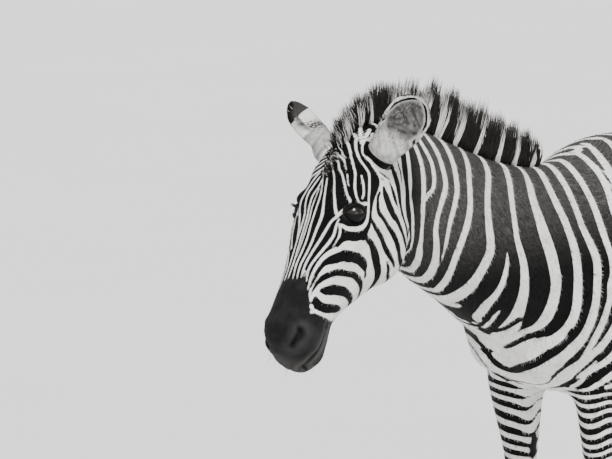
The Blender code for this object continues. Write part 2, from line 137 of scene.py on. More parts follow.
def catmull(rows, step):
    # a smooth run through the rows, with about one row for each step along the first two columns
    rows = np.array(rows, float)
    ends = np.vstack([2 * rows[0] - rows[1], rows, 2 * rows[-1] - rows[-2]])
    out = []
    for k in range(len(rows) - 1):
        a, b, c, d = ends[k:k + 4]
        parts = max(2, int(math.ceil(np.linalg.norm((c - b)[:2]) / step)))
        t = (np.arange(parts) / parts)[:, None]
        out.append(0.5 * (2 * b + (c - a) * t + (2 * a - 5 * b + 4 * c - d) * t ** 2
                          + (3 * b - a - 3 * c + d) * t ** 3))
    out.append(rows[-1:])
    return np.vstack(out)


# camera, light and floor
shot = dict(azimuth=35, drop=10, distance=6.5, right=-0.0830, up=-0.2064, lens=184.3)
studio = dict(target=(0, -0.4, 0.9), sky=(0.92, 0.94, 0.96, 1), skyStrength=0.62, floorSize=150)


def makeCamera():
    turn, drop = math.radians(shot["azimuth"]), math.radians(shot["drop"])
    look = Vector((-math.sin(turn) * math.cos(drop), math.cos(turn) * math.cos(drop), -math.sin(drop)))
    right = Vector((math.cos(turn), math.sin(turn), 0))
    up = right.cross(look)
    camera = bpy.data.objects.new("camera", bpy.data.cameras.new("camera"))
    bpy.context.collection.objects.link(camera)
    poll = Vector(headPlace["poll"])
    camera.location = poll - look * shot["distance"] + right * shot["right"] + up * shot["up"]
    camera.rotation_euler = look.to_track_quat("-Z", "Y").to_euler()
    camera.data.lens = shot["lens"]
    camera.data.sensor_width = 36
    camera.data.clip_end = 400
    bpy.context.scene.camera = camera


def makeLight(name, kind, place, size, power, tint):
    # size is a disk's width in metres, or the angle in degrees that the sun fills
    light = bpy.data.objects.new(name, bpy.data.lights.new(name, kind))
    bpy.context.collection.objects.link(light)
    light.location = place
    light.rotation_euler = (Vector(studio["target"]) - Vector(place)).to_track_quat("-Z", "Y").to_euler()
    if kind == "AREA":
        light.data.shape = "DISK"
        light.data.size = size
    else:
        light.data.angle = math.radians(size)
    light.data.energy = power
    light.data.color = tint


def makeStudio():
    makeLight("softSun", "SUN", (2.2, -2.6, 5.2), 16, 5.2, (1.0, 0.995, 0.98))
    makeLight("fillLight", "AREA", (4.5, -2.5, 2.0), 3.0, 45, (0.98, 0.99, 1.0))
    world = bpy.data.worlds.new("studio")
    bpy.context.scene.world = world
    world.use_nodes = True
    sky = world.node_tree.nodes["Background"]
    sky.inputs["Color"].default_value = studio["sky"]
    sky.inputs["Strength"].default_value = studio["skyStrength"]
    bm = bmesh.new()
    bmesh.ops.create_grid(bm, x_segments=2, y_segments=2, size=studio["floorSize"])
    floor = pieceFromBmesh("studioFloor", bm)
    floor.data.materials.append(floorFinish())
    print("camera, lights and floor made")


# materials

def newMaterial(name):
    material = bpy.data.materials.new(name)
    material.use_nodes = True
    tree = material.node_tree
    return material, tree, tree.nodes["Principled BSDF"]


def node(tree, kind, **settings):
    made = tree.nodes.new(kind)
    for key, value in settings.items():
        setattr(made, key, value)
    return made


def plug(tree, source, target):
    tree.links.new(source, target)


def noiseOn(tree, coords, scale, detail=3, rough=0.55):
    noise = node(tree, "ShaderNodeTexNoise")
    noise.inputs["Scale"].default_value = scale
    noise.inputs["Detail"].default_value = detail
    noise.inputs["Roughness"].default_value = rough
    plug(tree, coords, noise.inputs["Vector"])
    return noise.outputs["Fac"]


def ramp(tree, source, low, high, toLow=0.0, toHigh=1.0, smooth=False):
    made = node(tree, "ShaderNodeMapRange")
    if smooth:
        made.interpolation_type = "SMOOTHSTEP"
    for key, value in (("From Min", low), ("From Max", high), ("To Min", toLow), ("To Max", toHigh)):
        made.inputs[key].default_value = value
    plug(tree, source, made.inputs["Value"])
    return made.outputs["Result"]


def mathOn(tree, operation, first, second):
    made = node(tree, "ShaderNodeMath", operation=operation)
    for socket, value in zip(made.inputs, (first, second)):
        if isinstance(value, (int, float)):
            socket.default_value = value
        else:
            plug(tree, value, socket)
    return made.outputs["Value"]


def mixColours(tree, share, first, second):
    made = node(tree, "ShaderNodeMix", data_type="RGBA")
    plug(tree, share, made.inputs[0])
    for socket, value in ((made.inputs[6], first), (made.inputs[7], second)):
        if isinstance(value, tuple):
            socket.default_value = value + (1,)
        else:
            plug(tree, value, socket)
    return made.outputs[2]


def attribute(tree, name, output="Fac"):
    return node(tree, "ShaderNodeAttribute", attribute_name=name).outputs[output]


def bumpOn(tree, shader, height, strength, distance):
    bump = node(tree, "ShaderNodeBump")
    bump.inputs["Strength"].default_value = strength
    bump.inputs["Distance"].default_value = distance
    plug(tree, height, bump.inputs["Height"])
    plug(tree, bump.outputs["Normal"], shader.inputs["Normal"])


def floorFinish():
    material, tree, shader = newMaterial("paleFloor")
    coords = node(tree, "ShaderNodeTexCoord").outputs["Object"]
    share = noiseOn(tree, coords, 0.8, 4)
    colour = mixColours(tree, share, (0.84, 0.84, 0.835), (0.90, 0.90, 0.895))
    plug(tree, colour, shader.inputs["Base Color"])
    shader.inputs["Roughness"].default_value = 0.85
    return material


coatColours = dict(white=(0.86, 0.85, 0.83), cream=(0.70, 0.68, 0.65), black=(0.0012, 0.0012, 0.0013),
                   # the grey laid over dark stripes is painted sheen on top of the neck and back, and the
                   # grey of the dark hair on the ears' backs
                   sooty=(0.0085, 0.0082, 0.0080), darkSheenAndEarGrey=(0.092, 0.087, 0.083),
                   # the muzzle's pale grey is partly the skin's own grey, partly painted sheen
                   muzzle=(0.0085, 0.0085, 0.009), muzzlePaleAndSheen=(0.062, 0.060, 0.058),
                   bare=(0.012, 0.011, 0.011))


def drawnOut(tree, coords):
    # places squeezed along the lie of the coat, so that a noise on them runs in hair-like streaks
    comb = attribute(tree, "comb", "Vector")
    along = node(tree, "ShaderNodeVectorMath", operation="DOT_PRODUCT")
    plug(tree, coords, along.inputs[0])
    plug(tree, comb, along.inputs[1])
    slide = node(tree, "ShaderNodeVectorMath", operation="SCALE")
    plug(tree, comb, slide.inputs[0])
    plug(tree, mathOn(tree, "MULTIPLY", along.outputs["Value"], -0.9), slide.inputs["Scale"])
    drawn = node(tree, "ShaderNodeVectorMath", operation="ADD")
    plug(tree, coords, drawn.inputs[0])
    plug(tree, slide.outputs[0], drawn.inputs[1])
    return drawn.outputs[0]


def coatColour(tree, coords, streaks, roughEdge):
    # white or dark from the marking layer, with its edge broken up by single hairs
    fine = noiseOn(tree, coords, 420, 2)
    wobble = ramp(tree, fine, 0.2, 0.8, -roughEdge, roughEdge)
    edge = mathOn(tree, "ADD", attribute(tree, "marking"), wobble)
    white = ramp(tree, edge, -0.0010, 0.0010, 0, 1, True)
    soft = noiseOn(tree, coords, 26, 4)
    pale = mixColours(tree, ramp(tree, soft, 0.35, 0.75), coatColours["white"], coatColours["cream"])
    grain = noiseOn(tree, streaks, 170, 4, 0.65)
    dark = mixColours(tree, ramp(tree, grain, 0.35, 0.8), coatColours["black"], coatColours["sooty"])
    # painted sheen: where this layer is high the darks turn grey, as sunlit hair on top of the neck looks; on
    # the ears' backs it greys their dark hair
    sheenAndEarGrey = mathOn(tree, "MULTIPLY", attribute(tree, "sheenAndEarGrey"), ramp(tree, grain, 0.38, 0.62, 0.15, 1.0))
    dark = mixColours(tree, sheenAndEarGrey, dark, coatColours["darkSheenAndEarGrey"])
    colour = mixColours(tree, white, dark, pale)
    # pale grey on the muzzle round the nostrils and lips: partly the skin's own grey, partly painted sheen;
    # in the ears the same layer gives the grey of the hollow
    paleGreyAndSheenShare = mathOn(tree, "ADD", attribute(tree, "paleGreyAndSheen"), ramp(tree, soft, 0.35, 0.8, -0.05, 0.32))
    nose = mixColours(tree, ramp(tree, paleGreyAndSheenShare, 0, 1), coatColours["muzzle"],
                      coatColours["muzzlePaleAndSheen"])
    colour = mixColours(tree, ramp(tree, attribute(tree, "muzzle"), 0.0, 1.0), colour, nose)
    return mixColours(tree, attribute(tree, "bare"), colour, coatColours["bare"])


def coatFinish(name, bumps=True, roughEdge=0.0009):
    material, tree, shader = newMaterial(name)
    coords = node(tree, "ShaderNodeTexCoord").outputs["Object"]
    streaks = drawnOut(tree, coords)
    plug(tree, coatColour(tree, coords, streaks, roughEdge), shader.inputs["Base Color"])
    shader.inputs["Roughness"].default_value = 0.52
    shader.inputs["Specular IOR Level"].default_value = 0.05
    shader.inputs["Sheen Weight"].default_value = 0.004
    shader.inputs["Sheen Roughness"].default_value = 0.35
    if bumps:
        # hair-fine grooves along the lie of the coat
        bumpOn(tree, shader, noiseOn(tree, streaks, 520, 3, 0.6), 0.6, 0.002)
    return material


# the skin: one closed surface in place of every node of flesh
skinForm = dict(voxel=0.0124, overlap=0.001, smoothing=6, inset=0.0024)
fleshNodes = ["trunk", "neck", "head", "ear_left", "ear_right", "foreleg_left", "foreleg_right",
              "hindleg_left", "hindleg_right", "tail"]


def makeBareBody():
    bm = bmesh.new()
    for name in fleshNodes:
        if not name.startswith("ear"):
            bm.from_mesh(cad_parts[name].data)
    bmesh.ops.remove_doubles(bm, verts=bm.verts, dist=0.00005)
    bm.normal_update()
    for vert in bm.verts:
        vert.co += vert.normal * skinForm["overlap"]
    body = pieceFromBmesh("zebraSkin", bm)
    remesh = body.modifiers.new("oneSkin", "REMESH")
    remesh.mode = "VOXEL"
    remesh.voxel_size = skinForm["voxel"]
    smooth = body.modifiers.new("smoothing", "SMOOTH")
    smooth.factor = 0.5
    smooth.iterations = skinForm["smoothing"]
    applyModifiers(body)
    mesh = body.data
    setPoints(mesh, pointsOf(mesh) - normalsOf(mesh) * skinForm["inset"])
    print("body remeshed:", len(mesh.polygons), "faces")
    return body


def refine(body, chosen):
    # faces are quartered wherever the chosen test holds for the face's middle
    bm = bmesh.new()
    bm.from_mesh(body.data)
    middles = np.array([face.calc_center_median() for face in bm.faces])
    keep = chosen(middles)
    faces = [face for face, take in zip(bm.faces, keep) if take]
    edges = list({edge for face in faces for edge in face.edges})
    bmesh.ops.subdivide_edges(bm, edges=edges, cuts=1, smooth=0.0, use_grid_fill=True)
    bm.to_mesh(body.data)
    bm.free()
    body.data.shade_smooth()


# where a marking lies: three charts, each turned into places on the body by a ray

def axisHeight(down):
    return np.clip(-0.115 + (down - 0.10) * 0.162, -0.13, -0.05)


class Charts:
    def __init__(self, mesh):
        mesh.calc_loop_triangles()
        verts = [v.co.copy() for v in mesh.vertices]
        faces = [tuple(tri.vertices) for tri in mesh.loop_triangles]
        self.tree = BVHTree.FromPolygons(verts, faces)

    def cast(self, start, way):
        hit = self.tree.ray_cast(Vector(start), Vector(way).normalized())
        return None if hit[0] is None else np.array(hit[0])

    def head(self, turn, down, side=1):
        # turn in degrees round the head from the front of the face, down in metres from the poll
        angle = math.radians(turn) * side
        axis = Vector((0, float(axisHeight(down)), down))
        out = Vector((math.sin(angle), math.cos(angle), 0))
        start = headFrame @ (axis + out * 0.3)
        return self.cast(start, headFrame.to_3x3() @ -out)

    def flank(self, y, z, side=1):
        return self.cast((side * 1.0, y, z), (-side, 0, 0))

    def front(self, x, z, side=1):
        return self.cast((x * side, -0.52, z), (0, 1, 0))


def strokeOn(chart, rows, side, step):
    # rows are (first, second, half width in mm); what misses the body is passed over
    run = catmull(rows, step)
    found = [(*place, width / 1000) for a, b, width in run
             if (place := chart(a, b, side)) is not None]
    return np.array(found) if len(found) > 1 else None


def distanceTo(points, run, reach):
    # distance from each point to the stroke's edge, negative inside it
    out = np.full(len(points), reach)
    low, high = run[:, :3].min(0) - reach - 0.03, run[:, :3].max(0) + reach + 0.03
    near = np.flatnonzero(np.all((points > low) & (points < high), axis=1))
    for part in np.array_split(near, max(1, len(near) * len(run) // 400000)):
        if not len(part):
            continue
        a, b = run[:-1], run[1:]
        along = b[:, :3] - a[:, :3]
        length = (along ** 2).sum(1) + 1e-12
        offset = points[part][:, None, :] - a[None, :, :3]
        t = np.clip((offset * along[None]).sum(2) / length[None], 0, 1)
        gap = np.linalg.norm(offset - t[..., None] * along[None], axis=2)
        gap -= a[None, :, 3] + t * (b[:, 3] - a[:, 3])[None]
        jump = np.sqrt(length) > 0.05
        gap[:, jump] = reach
        out[part] = np.minimum(out[part], gap.min(1))
    return out


def carryOver(charts, run):
    # a flank stroke that stops near the top or the underside runs on to the middle line
    def climb(end, before, fromZ, way):
        x, y, z, width = end
        slope = np.clip((end[1] - before[1]) / (abs(end[2] - before[2]) + 0.004), -0.8, 0.8)
        rows = []
        for share in (0.85, 0.7, 0.55, 0.4, 0.25, 0.12, 0.0):
            hit = charts.cast((x * share, y + slope * abs(x) * (1 - share) * 0.35, fromZ), (0, 0, way))
            if hit is not None:
                rows.append((*hit, width))
        return np.array(rows).reshape(-1, 4)
    first, last = run[0], run[-1]
    if first[1] > 0.88:
        rows = []
        for share in (0.9, 0.75, 0.6, 0.45, 0.3, 0.15, 0.0):
            hit = charts.cast((first[0] * share, 1.6, first[2] + 0.05 * (1 - share)), (0, -1, 0))
            if hit is not None and hit[1] < 1.03:
                rows.append((*hit, first[3]))
        return np.vstack([np.array(rows[::-1]).reshape(-1, 4), run])
    rows = climb(first, run[2], 1.6, -1)
    if len(rows) and abs(rows[0][2] - first[2]) < 0.06:
        run = np.vstack([rows[::-1], run])
    rows = climb(last, run[-3], 0.3, 1)
    if len(rows) and abs(rows[0][2] - last[2]) < 0.05:
        run = np.vstack([run, rows])
    return run


reach = 0.03

# white strokes of the face: (degrees round, metres down, half width in mm)
faceWhites = [
    [(-11, .103, 1.2), (-15, .113, 2), (-19, .125, 2), (-22, .137, 2), (-24, .15, 2), (-26, .165, 2),
     (-26.5, .18, 2.2), (-25.5, .19, 2.5), (-23.5, .2, 2.2), (-22, .215, 1.8), (-20.5, .23, 1.5),
     (-20, .25, .8)],
    [(-9, .113, 1), (-12, .125, 1.7), (-15.5, .138, 2), (-18, .148, 2.1), (-19, .16, 1.8),
     (-18.5, .175, 1.6), (-17, .188, 1.6), (-16, .2, 1.7), (-16.5, .22, 1.8), (-17.5, .24, 1.8),
     (-18.5, .26, 1.7), (-19, .29, 1.6), (-19.5, .32, 1.5), (-19.5, .345, 1.4), (-19.5, .362, .8)],
    [(-5, .12, .8), (-6.5, .135, 1.2), (-9.5, .148, 1.6), (-11.5, .16, 1.8), (-12, .175, 1.7),
     (-11.5, .19, 1.6), (-11, .205, 1.6), (-11.5, .225, 1.6), (-12, .245, 1.5), (-12.5, .27, 1.5),
     (-12, .3, 1.7), (-12.5, .33, 1.7), (-11.5, .357, .7)],
    [(-5, .14, .7), (-6, .155, 1), (-7, .17, 1.1), (-7.5, .185, 1.1), (-7, .205, 1.2), (-7.5, .225, 1.2),
     (-8, .25, 1.2), (-9.5, .28, 1), (-11, .295, .7)],
    [(-5, .11, .9), (-3.5, .125, 1), (-1.5, .14, 1.3), (-.5, .16, 1.5), (-1, .18, 1.6), (-1.5, .2, 1.7),
     (-2, .22, 1.7), (-1.5, .24, 1.8), (-1.5, .26, 1.8), (-3, .28, 1.9), (-5, .3, 2), (-5.5, .315, 1.9),
     (-4, .33, 1.5), (-2, .346, .6)],
    [(-3, .1, .8), (0, .11, 1.2), (2, .125, 1.5), (4, .145, 1.7), (6, .165, 2), (8, .18, 2.4),
     (10, .2, 3.1), (9.5, .215, 2.9), (8.5, .235, 2.4), (8, .255, 2.3), (6.5, .275, 2.2), (4, .295, 2.1),
     (2.3, .31, 2), (3, .328, 1.6), (5.5, .343, .6)],
    [(1, .082, 1), (3.5, .095, 1.3), (7, .105, 1.3), (10.5, .12, 1.5), (13.5, .137, 1.7), (16, .15, 1.9),
     (19, .163, 2.2), (22, .176, 2.5), (25, .187, 2.7), (28.5, .197, 2.5), (26, .204, 2.3),
     (23.5, .213, 2.2), (22, .225, 2.3), (20, .242, 2.6), (17.5, .258, 2.6), (15, .272, 2.4),
     (12.5, .288, 2.2), (10.5, .303, 2), (10, .32, 1.8), (11, .338, .8)],
    [(28.5, .197, 1.8), (30, .188, 1.3), (32, .18, .9), (33, .175, .5)],
    [(29, .2, 1), (31, .193, .9), (34, .186, .6)],
    [(5, .073, 1.2), (8, .082, 1.6), (11, .093, 1.8), (14.5, .1, 1.6), (18, .11, 1.5), (21, .12, 1.6),
     (24, .13, 1.6), (27, .14, 1.6), (30.5, .15, 1.8), (34, .158, 2.2), (37, .166, 1.8)],
    [(3, .06, 1.2), (7, .065, 1.5), (11, .07, 1.6), (14, .078, 1.2), (17, .088, 1), (20, .098, .9),
     (23, .11, .9), (25, .12, .8), (27.5, .127, .4)],
    [(1, .044, .8), (4, .05, 1), (7, .057, 1), (10, .062, .8), (13, .065, .4)],
    [(-22, .066, 1.2), (-14, .062, 1.5), (-8, .06, 1.3), (-3, .058, .6)],
    [(-25, .083, 1.2), (-19, .079, 1.5), (-13, .073, 1.5), (-7, .067, 1.2), (-2, .063, .6)],
    [(-27, .097, 1.2), (-21, .094, 1.5), (-15, .088, 1.6), (-10, .08, 1.6), (-5, .073, 1.3), (-1, .07, .6)],
    [(-29, .113, 1.5), (-23, .109, 2), (-17, .104, 2), (-12, .098, 1.6), (-7, .09, 1.2), (-3, .082, .6)],
    [(-25, .05, 1.3), (-17, .048, 1.8), (-10, .047, 1.6), (-4, .047, .8)],
    [(-23, .035, 1.4), (-15, .034, 1.8), (-8, .035, 1.5), (-3, .038, .7)],
    [(-14, .0, 2), (-8, .005, 2), (-2, .013, 2), (3, .024, 2.1), (7, .032, 2.2), (10, .04, 2.2),
     (13, .048, 2), (16, .058, 1.7), (19, .067, 1.6), (22, .076, 1.8), (25, .086, 1.9), (28, .096, 1.9),
     (29.5, .105, 1.7), (31, .115, 1.8), (33, .125, 1.9), (36, .137, 2), (39, .147, 2), (43, .156, 2.2),
     (46, .156, 2.5), (50, .151, 3), (52, .149, 2.2)],
    [(-14, .022, 3), (-9, .028, 2.5), (-4, .035, 1)],
    [(-8, -.02, 2), (-4, -.013, 2), (0, -.006, 2), (4, 0, 2), (8, .007, 2.4), (11, .015, 2.6),
     (13, .024, 2.5), (15, .032, 2.3), (18, .042, 2), (21, .05, 2), (25, .06, 2), (29, .067, 2),
     (33, .073, 2.2), (37, .079, 2.4), (40, .085, 2.3), (42.5, .095, 2.2), (45, .106, 2.1),
     (47.5, .118, 2.1), (49.5, .13, 2), (51.5, .14, 2), (54, .15, 2.2), (56, .16, 2.5), (58.5, .17, 2.8),
     (60, .18, 3), (60.5, .187, 3.4), (59.5, .195, 3.7), (57.5, .202, 4), (54, .208, 4), (49, .213, 3.8),
     (43, .216, 3.2), (38, .214, 2.5), (34, .213, 1.8)],
    [(34, .213, 1.8), (37, .222, 1.8), (38.7, .235, 1.5), (38.5, .248, 1.2), (37, .26, .5)],
    [(31.5, .203, 1.2), (31, .213, 1.5), (32, .225, 2), (32.5, .238, 2.2), (31, .252, 2.4),
     (28.5, .265, 2.4), (25.5, .278, 2.3), (22, .292, 2.1), (19, .307, 2), (18, .32, 1.8),
     (19.5, .333, 1.4), (21.5, .345, .6)],
    [(14, .323, 1.2), (15, .335, .6)],
    [(5, -.02, 3), (9, -.01, 3.4), (12, 0, 3), (15, .01, 2.5), (18, .022, 1.2)],
    [(17, -.02, 3), (18.5, 0, 3), (20, .022, 1.8), (24, .042, 1.5), (30, .052, 1.6), (36, .057, 2.2),
     (40, .063, 2.5), (45, .067, 2.2), (50, .074, 2), (55, .08, 2.6), (59, .09, 4.2), (60, .1, 3.6),
     (59, .115, 1.8), (59, .13, 1.9), (60.5, .142, 2.3), (62, .152, 2.6), (64, .162, 2.8), (66, .169, 3),
     (70, .169, 4)],
    [(36, .036, 7), (46, .042, 8), (55, .042, 8), (63, .036, 8), (70, .028, 8)],
    [(30, .05, 2), (36, .056, 3), (42, .06, 3.6), (50, .061, 4), (60, .057, 5), (68, .05, 6)],
    [(44, .068, 2), (52, .0715, 2.5), (60, .073, 3), (70, .0735, 3), (78, .072, 2)],
    [(34, .096, 1.1), (37, .105, 1.7), (40, .115, 1.9), (42.5, .125, 1.8), (44, .135, 1.7),
     (44.5, .144, 1.5)],
    # the white arcs of the cheek
    [(28.5, .362, .6), (27, .348, 1.6), (26, .325, 2.2), (28, .305, 2.8), (31, .289, 3.4), (36, .276, 4.2),
     (42, .265, 5), (48, .252, 6.5), (55, .245, 9), (63, .24, 11), (72, .235, 11), (82, .234, 12),
     (92, .237, 11), (100, .244, 11), (110, .255, 13), (120, .266, 12), (130, .278, 10), (140, .29, 8),
     (150, .3, 7)],
    [(35, .377, .8), (33, .362, 2), (32, .342, 2.8), (34, .326, 4), (40, .31, 5.5), (48, .302, 6.5),
     (55, .297, 7.5), (60, .29, 8), (68, .283, 8), (78, .278, 8), (90, .278, 7.5), (100, .277, 7),
     (110, .27, 8), (118, .268, 8)],
    [(38, .383, 2.2), (40, .366, 4), (42, .351, 5), (46, .34, 6), (52, .33, 7), (60, .322, 7.5),
     (70, .316, 8), (80, .311, 9), (90, .308, 10), (100, .308, 10.5), (110, .308, 11), (120, .309, 10.5),
     (130, .314, 9), (140, .322, 6), (150, .325, 5)],
    [(44, .362, 3.5), (50, .366, 5.5), (60, .367, 7), (70, .36, 8.5), (80, .356, 9), (90, .353, 9.5),
     (100, .349, 10.5), (110, .348, 11), (120, .35, 12), (130, .35, 12), (140, .349, 7), (150, .345, 5)],
    [(47, .405, 3), (50, .4, 3.2), (60, .398, 4), (70, .396, 4.5), (80, .393, 5.5), (90, .39, 7.5),
     (100, .386, 9), (110, .378, 9.5), (120, .37, 9), (130, .362, 8), (142, .356, 6)],
    [(43.5, .392, 3.6), (44.5, .395, 3.6)],
]

# dark strokes over the pale cheek
cheekDarks = [
    [(35, .04, 2), (38, .047, 2.6), (42, .052, 2.8), (48, .054, 3), (55, .052, 3), (62, .045, 3.2),
     (67, .037, 3), (70, .033, 2)],
    [(50, .066, 1.2), (60, .067, 1.7), (70, .066, 1.7), (78, .067, 1)],
    [(55, .075, .8), (60, .077, 1.3), (63, .076, .7)],
    [(75, .012, 2.5), (82, .022, 3.5), (90, .03, 4), (97, .037, 4), (104, .045, 4), (110, .051, 3.2),
     (114, .053, 1.2)],
    [(95, -.015, 6), (100, 0, 6), (106, .012, 6), (112, .025, 7), (118, .037, 7), (124, .048, 6.5),
     (130, .06, 6), (136, .07, 5.5), (142, .078, 5), (150, .088, 5)],
    [(77, .043, 5), (83, .052, 7), (90, .057, 7.5), (97, .064, 8), (104, .072, 8.5), (110, .081, 9),
     (117, .09, 9), (124, .098, 8.5), (130, .105, 8), (138, .113, 7), (146, .125, 6)],
    [(74, .074, 2), (80, .077, 3.5), (87, .083, 5.3), (94, .09, 5.5), (101, .097, 5), (108, .103, 3.6),
     (114, .106, 1.2)],
    [(66, .093, 5), (72, .103, 9), (78, .108, 11.5), (85, .114, 12), (92, .12, 11.5), (100, .124, 10.5),
     (108, .13, 9), (116, .132, 8), (124, .14, 7), (131, .148, 7), (138, .156, 6), (146, .166, 6),
     (156, .172, 5)],
    [(62, .108, 3), (61.5, .12, 4.4), (64, .13, 5), (68, .142, 6.5), (73, .15, 6.5), (80, .152, 6),
     (88, .154, 6), (96, .157, 6), (104, .16, 6.3), (112, .163, 7), (120, .169, 7.5), (127, .178, 8),
     (134, .188, 8), (141, .198, 8), (150, .205, 8), (158, .21, 6)],
    [(52, .118, 3), (55, .135, 3.5), (57.5, .15, 3.6), (60.5, .163, 4), (64, .174, 5), (70, .178, 5),
     (77, .183, 6), (84, .185, 6.5), (91, .188, 7), (98, .19, 7), (105, .194, 7), (112, .199, 7),
     (119, .204, 7), (126, .21, 6.5), (133, .216, 5), (139, .221, 4), (143, .224, 1.2)],
    [(65.5, .18, 3), (66.5, .19, 4.5), (66.5, .199, 5.5), (65, .209, 8), (60, .22, 9), (55, .226, 9.5),
     (50, .229, 9), (46, .234, 8), (43, .243, 6), (41, .255, 4.5)],
    [(66, .212, 6.5), (73, .215, 6), (80, .215, 7), (87, .217, 8), (94, .221, 9.5), (101, .225, 11),
     (108, .23, 12), (115, .235, 11.5), (122, .243, 10.5), (129, .251, 10), (136, .26, 9), (143, .268, 8),
     (152, .278, 7)],
    [(127, .224, 1.2), (132, .229, 3.5), (137, .235, 4.5), (143, .242, 5), (152, .247, 5)],
    [(44, .285, 3.5), (49, .28, 6), (54, .273, 8), (60, .27, 10.5), (67, .263, 11.5), (74, .26, 11.5),
     (82, .258, 11), (90, .258, 11), (98, .26, 10), (104, .263, 7.5), (107, .265, 4)],
    [(31, .355, 2), (31.3, .34, 2.6), (32, .325, 3), (34, .31, 3), (38, .298, 3.6), (44, .287, 5)],
    [(35.5, .362, 2), (37, .346, 3.4), (42, .329, 5.5), (50, .315, 6.5), (60, .304, 7.5), (70, .299, 7),
     (80, .294, 7), (90, .29, 7.3), (100, .29, 7.5), (110, .291, 7.5), (120, .293, 7), (130, .298, 6),
     (140, .306, 5), (150, .312, 4)],
    [(47, .354, 3.6), (52, .35, 6.5), (60, .346, 10), (70, .339, 10), (80, .335, 10), (90, .332, 9),
     (100, .33, 8.5), (110, .329, 8.5), (120, .329, 8.5), (130, .331, 8), (140, .335, 7), (150, .336, 6)],
    [(43, .374, 3), (47, .38, 7), (52, .384, 10.5), (60, .385, 10), (70, .382, 10), (80, .377, 10),
     (90, .372, 9.5), (100, .368, 9), (110, .364, 6.5), (120, .361, 2)],
]

# where the pale ground of the cheek starts, as (metres down, degrees round)
paleFrom = [(-.05, 74), (.02, 72), (.05, 64), (.07, 60), (.08, 58), (.1, 57.5), (.13, 58.5), (.15, 61),
            (.165, 66), (.19, 68.5), (.23, 69), (.24, 112), (.5, 112)]

# where the dark muzzle starts, as (degrees round, metres down)
muzzleFrom = [(0, .343), (10, .339), (20, .345), (28, .362), (35, .377), (38, .385), (42, .397),
              (48, .409), (60, .404), (80, .401), (100, .399), (110, .392), (120, .386), (135, .378),
              (180, .37)]

